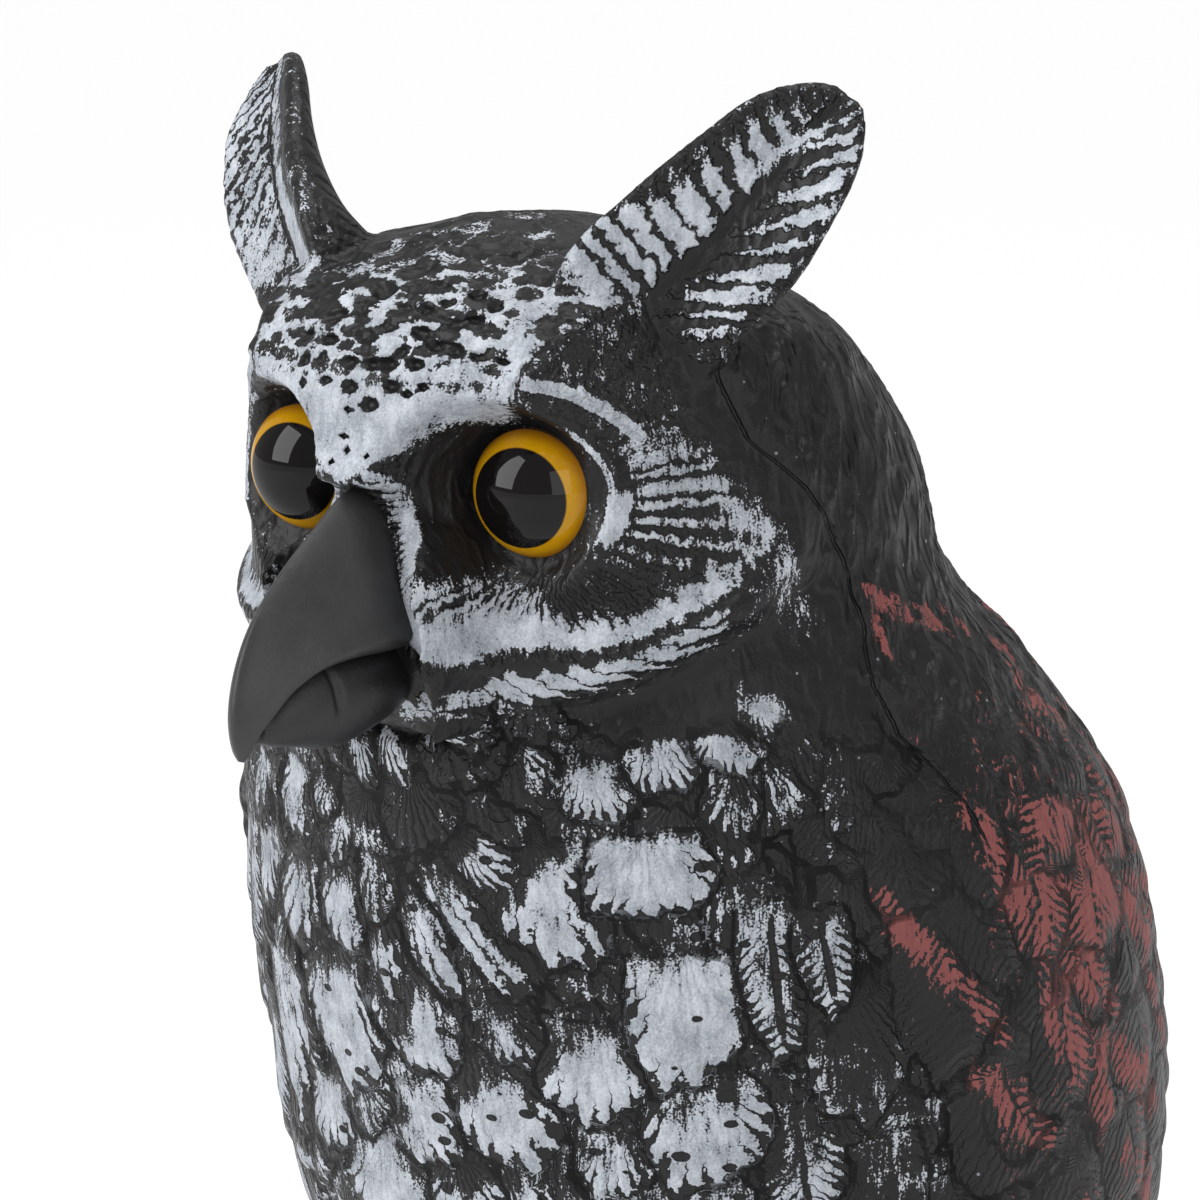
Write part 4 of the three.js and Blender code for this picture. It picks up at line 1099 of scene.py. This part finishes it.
dome_turn = np.linspace(np.arcsin(eye_radius / ball), 0.002, 60)
profile = [(eye_radius, -eye_seat), (eye_radius, -eye_seat / 2), (eye_radius, -0.2)]
profile += [(ball * np.sin(a), ball * np.cos(a) - ball + eye_rise) for a in dome_turn]


def towards(turn, rise):
    """The direction at a turn from the front, to the owl's left, and at a rise from level."""
    return np.array([np.sin(turn) * np.cos(rise), -np.cos(turn) * np.cos(rise), np.sin(rise)])


for name, side in (("eye_left", 1), ("eye_right", -1)):
    look = eye_splay * side + eye_gaze
    axis = towards(look, -eye_drop)
    level = np.cross(axis, (0, 0, 1))
    level /= np.linalg.norm(level)
    upright = np.cross(level, axis)
    centre = np.array([eye_centre[0] * side, eye_centre[1] - head_forward, eye_centre[2]])
    ring_turn = np.linspace(0, 2 * np.pi, eye_sides, endpoint=False)[:, None]
    ring = upright * np.cos(ring_turn) + level * np.sin(ring_turn)
    eye = new_piece(name + "_dome", *loft([centre + axis * h + r * ring for r, h in profile]))
    from_centre = [r / eye_radius + (0.02 if h < 0 else 0) for r, h in profile]
    mark(eye.data, "from_centre", np.append(np.repeat(from_centre, eye_sides), [1.0, 0.0]))
    shade_smooth(eye)
    eye.data.materials.append(eye_glass)
    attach(eye, "root")
    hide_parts(name)


# Studio
# The owl stands on a wide pale floor under large soft lights, seen from its front left and a little above.

floor_reach = 9000
floor_corners = [(floor_reach * x, floor_reach * y, 0) for x, y in ((-1, -1), (1, -1), (1, 1), (-1, 1))]
floor = new_piece("floor", floor_corners, [(0, 1, 2, 3)])
floor_paint, tree, shader = new_material("pale floor")
shader.inputs["Base Color"].default_value = (0.2, 0.2, 0.2, 1)
shader.inputs["Roughness"].default_value = 0.8
shader.inputs["Emission Color"].default_value = (1, 1, 1, 1)
shader.inputs["Emission Strength"].default_value = 0.86
floor.data.materials.append(floor_paint)

world = bpy.data.worlds.new("studio air")
bpy.context.scene.world = world
world.use_nodes = True
air = world.node_tree.nodes["Background"]
air.inputs["Color"].default_value = (1, 1, 1, 1)
air.inputs["Strength"].default_value = 0.45


def soft_light(name, place, aim, size, power):
    light = bpy.data.lights.new(name, "AREA")
    light.shape = "RECTANGLE"
    light.size, light.size_y = size
    light.energy = power
    lamp = bpy.data.objects.new(name, light)
    bpy.context.scene.collection.objects.link(lamp)
    lamp.location = place
    lamp.rotation_euler = (Vector(aim) - Vector(place)).to_track_quat("-Z", "Y").to_euler()


soft_light("left window", (-0.9, -1.5, 1.2), (0, 0, 0.28), (1.2, 1.7), 32)
soft_light("right fill", (1.8, -0.9, 0.9), (0, 0, 0.25), (1.2, 1.4), 9)
soft_light("overhead", (0.1, 0.2, 1.8), (0, 0, 0.2), (1.4, 1.4), 15)

# The camera stands a metre off, 36 degrees to the owl's left and 10.5 above. It sees 1.2 / 5.1 m across.
aim = Vector((0.0023, -0.0482, 0.2943))
to_camera = Vector(towards(*np.radians([36, 10.5])))
camera = bpy.data.objects.new("camera", bpy.data.cameras.new("camera"))
camera.data.sensor_width = 36
camera.data.lens = 36 * 5.1 / 1.2
camera.location = aim + to_camera
camera.rotation_euler = to_camera.to_track_quat("Z", "Y").to_euler()
bpy.context.scene.collection.objects.link(camera)
bpy.context.scene.camera = camera
bpy.context.scene.view_settings.view_transform = "Standard"
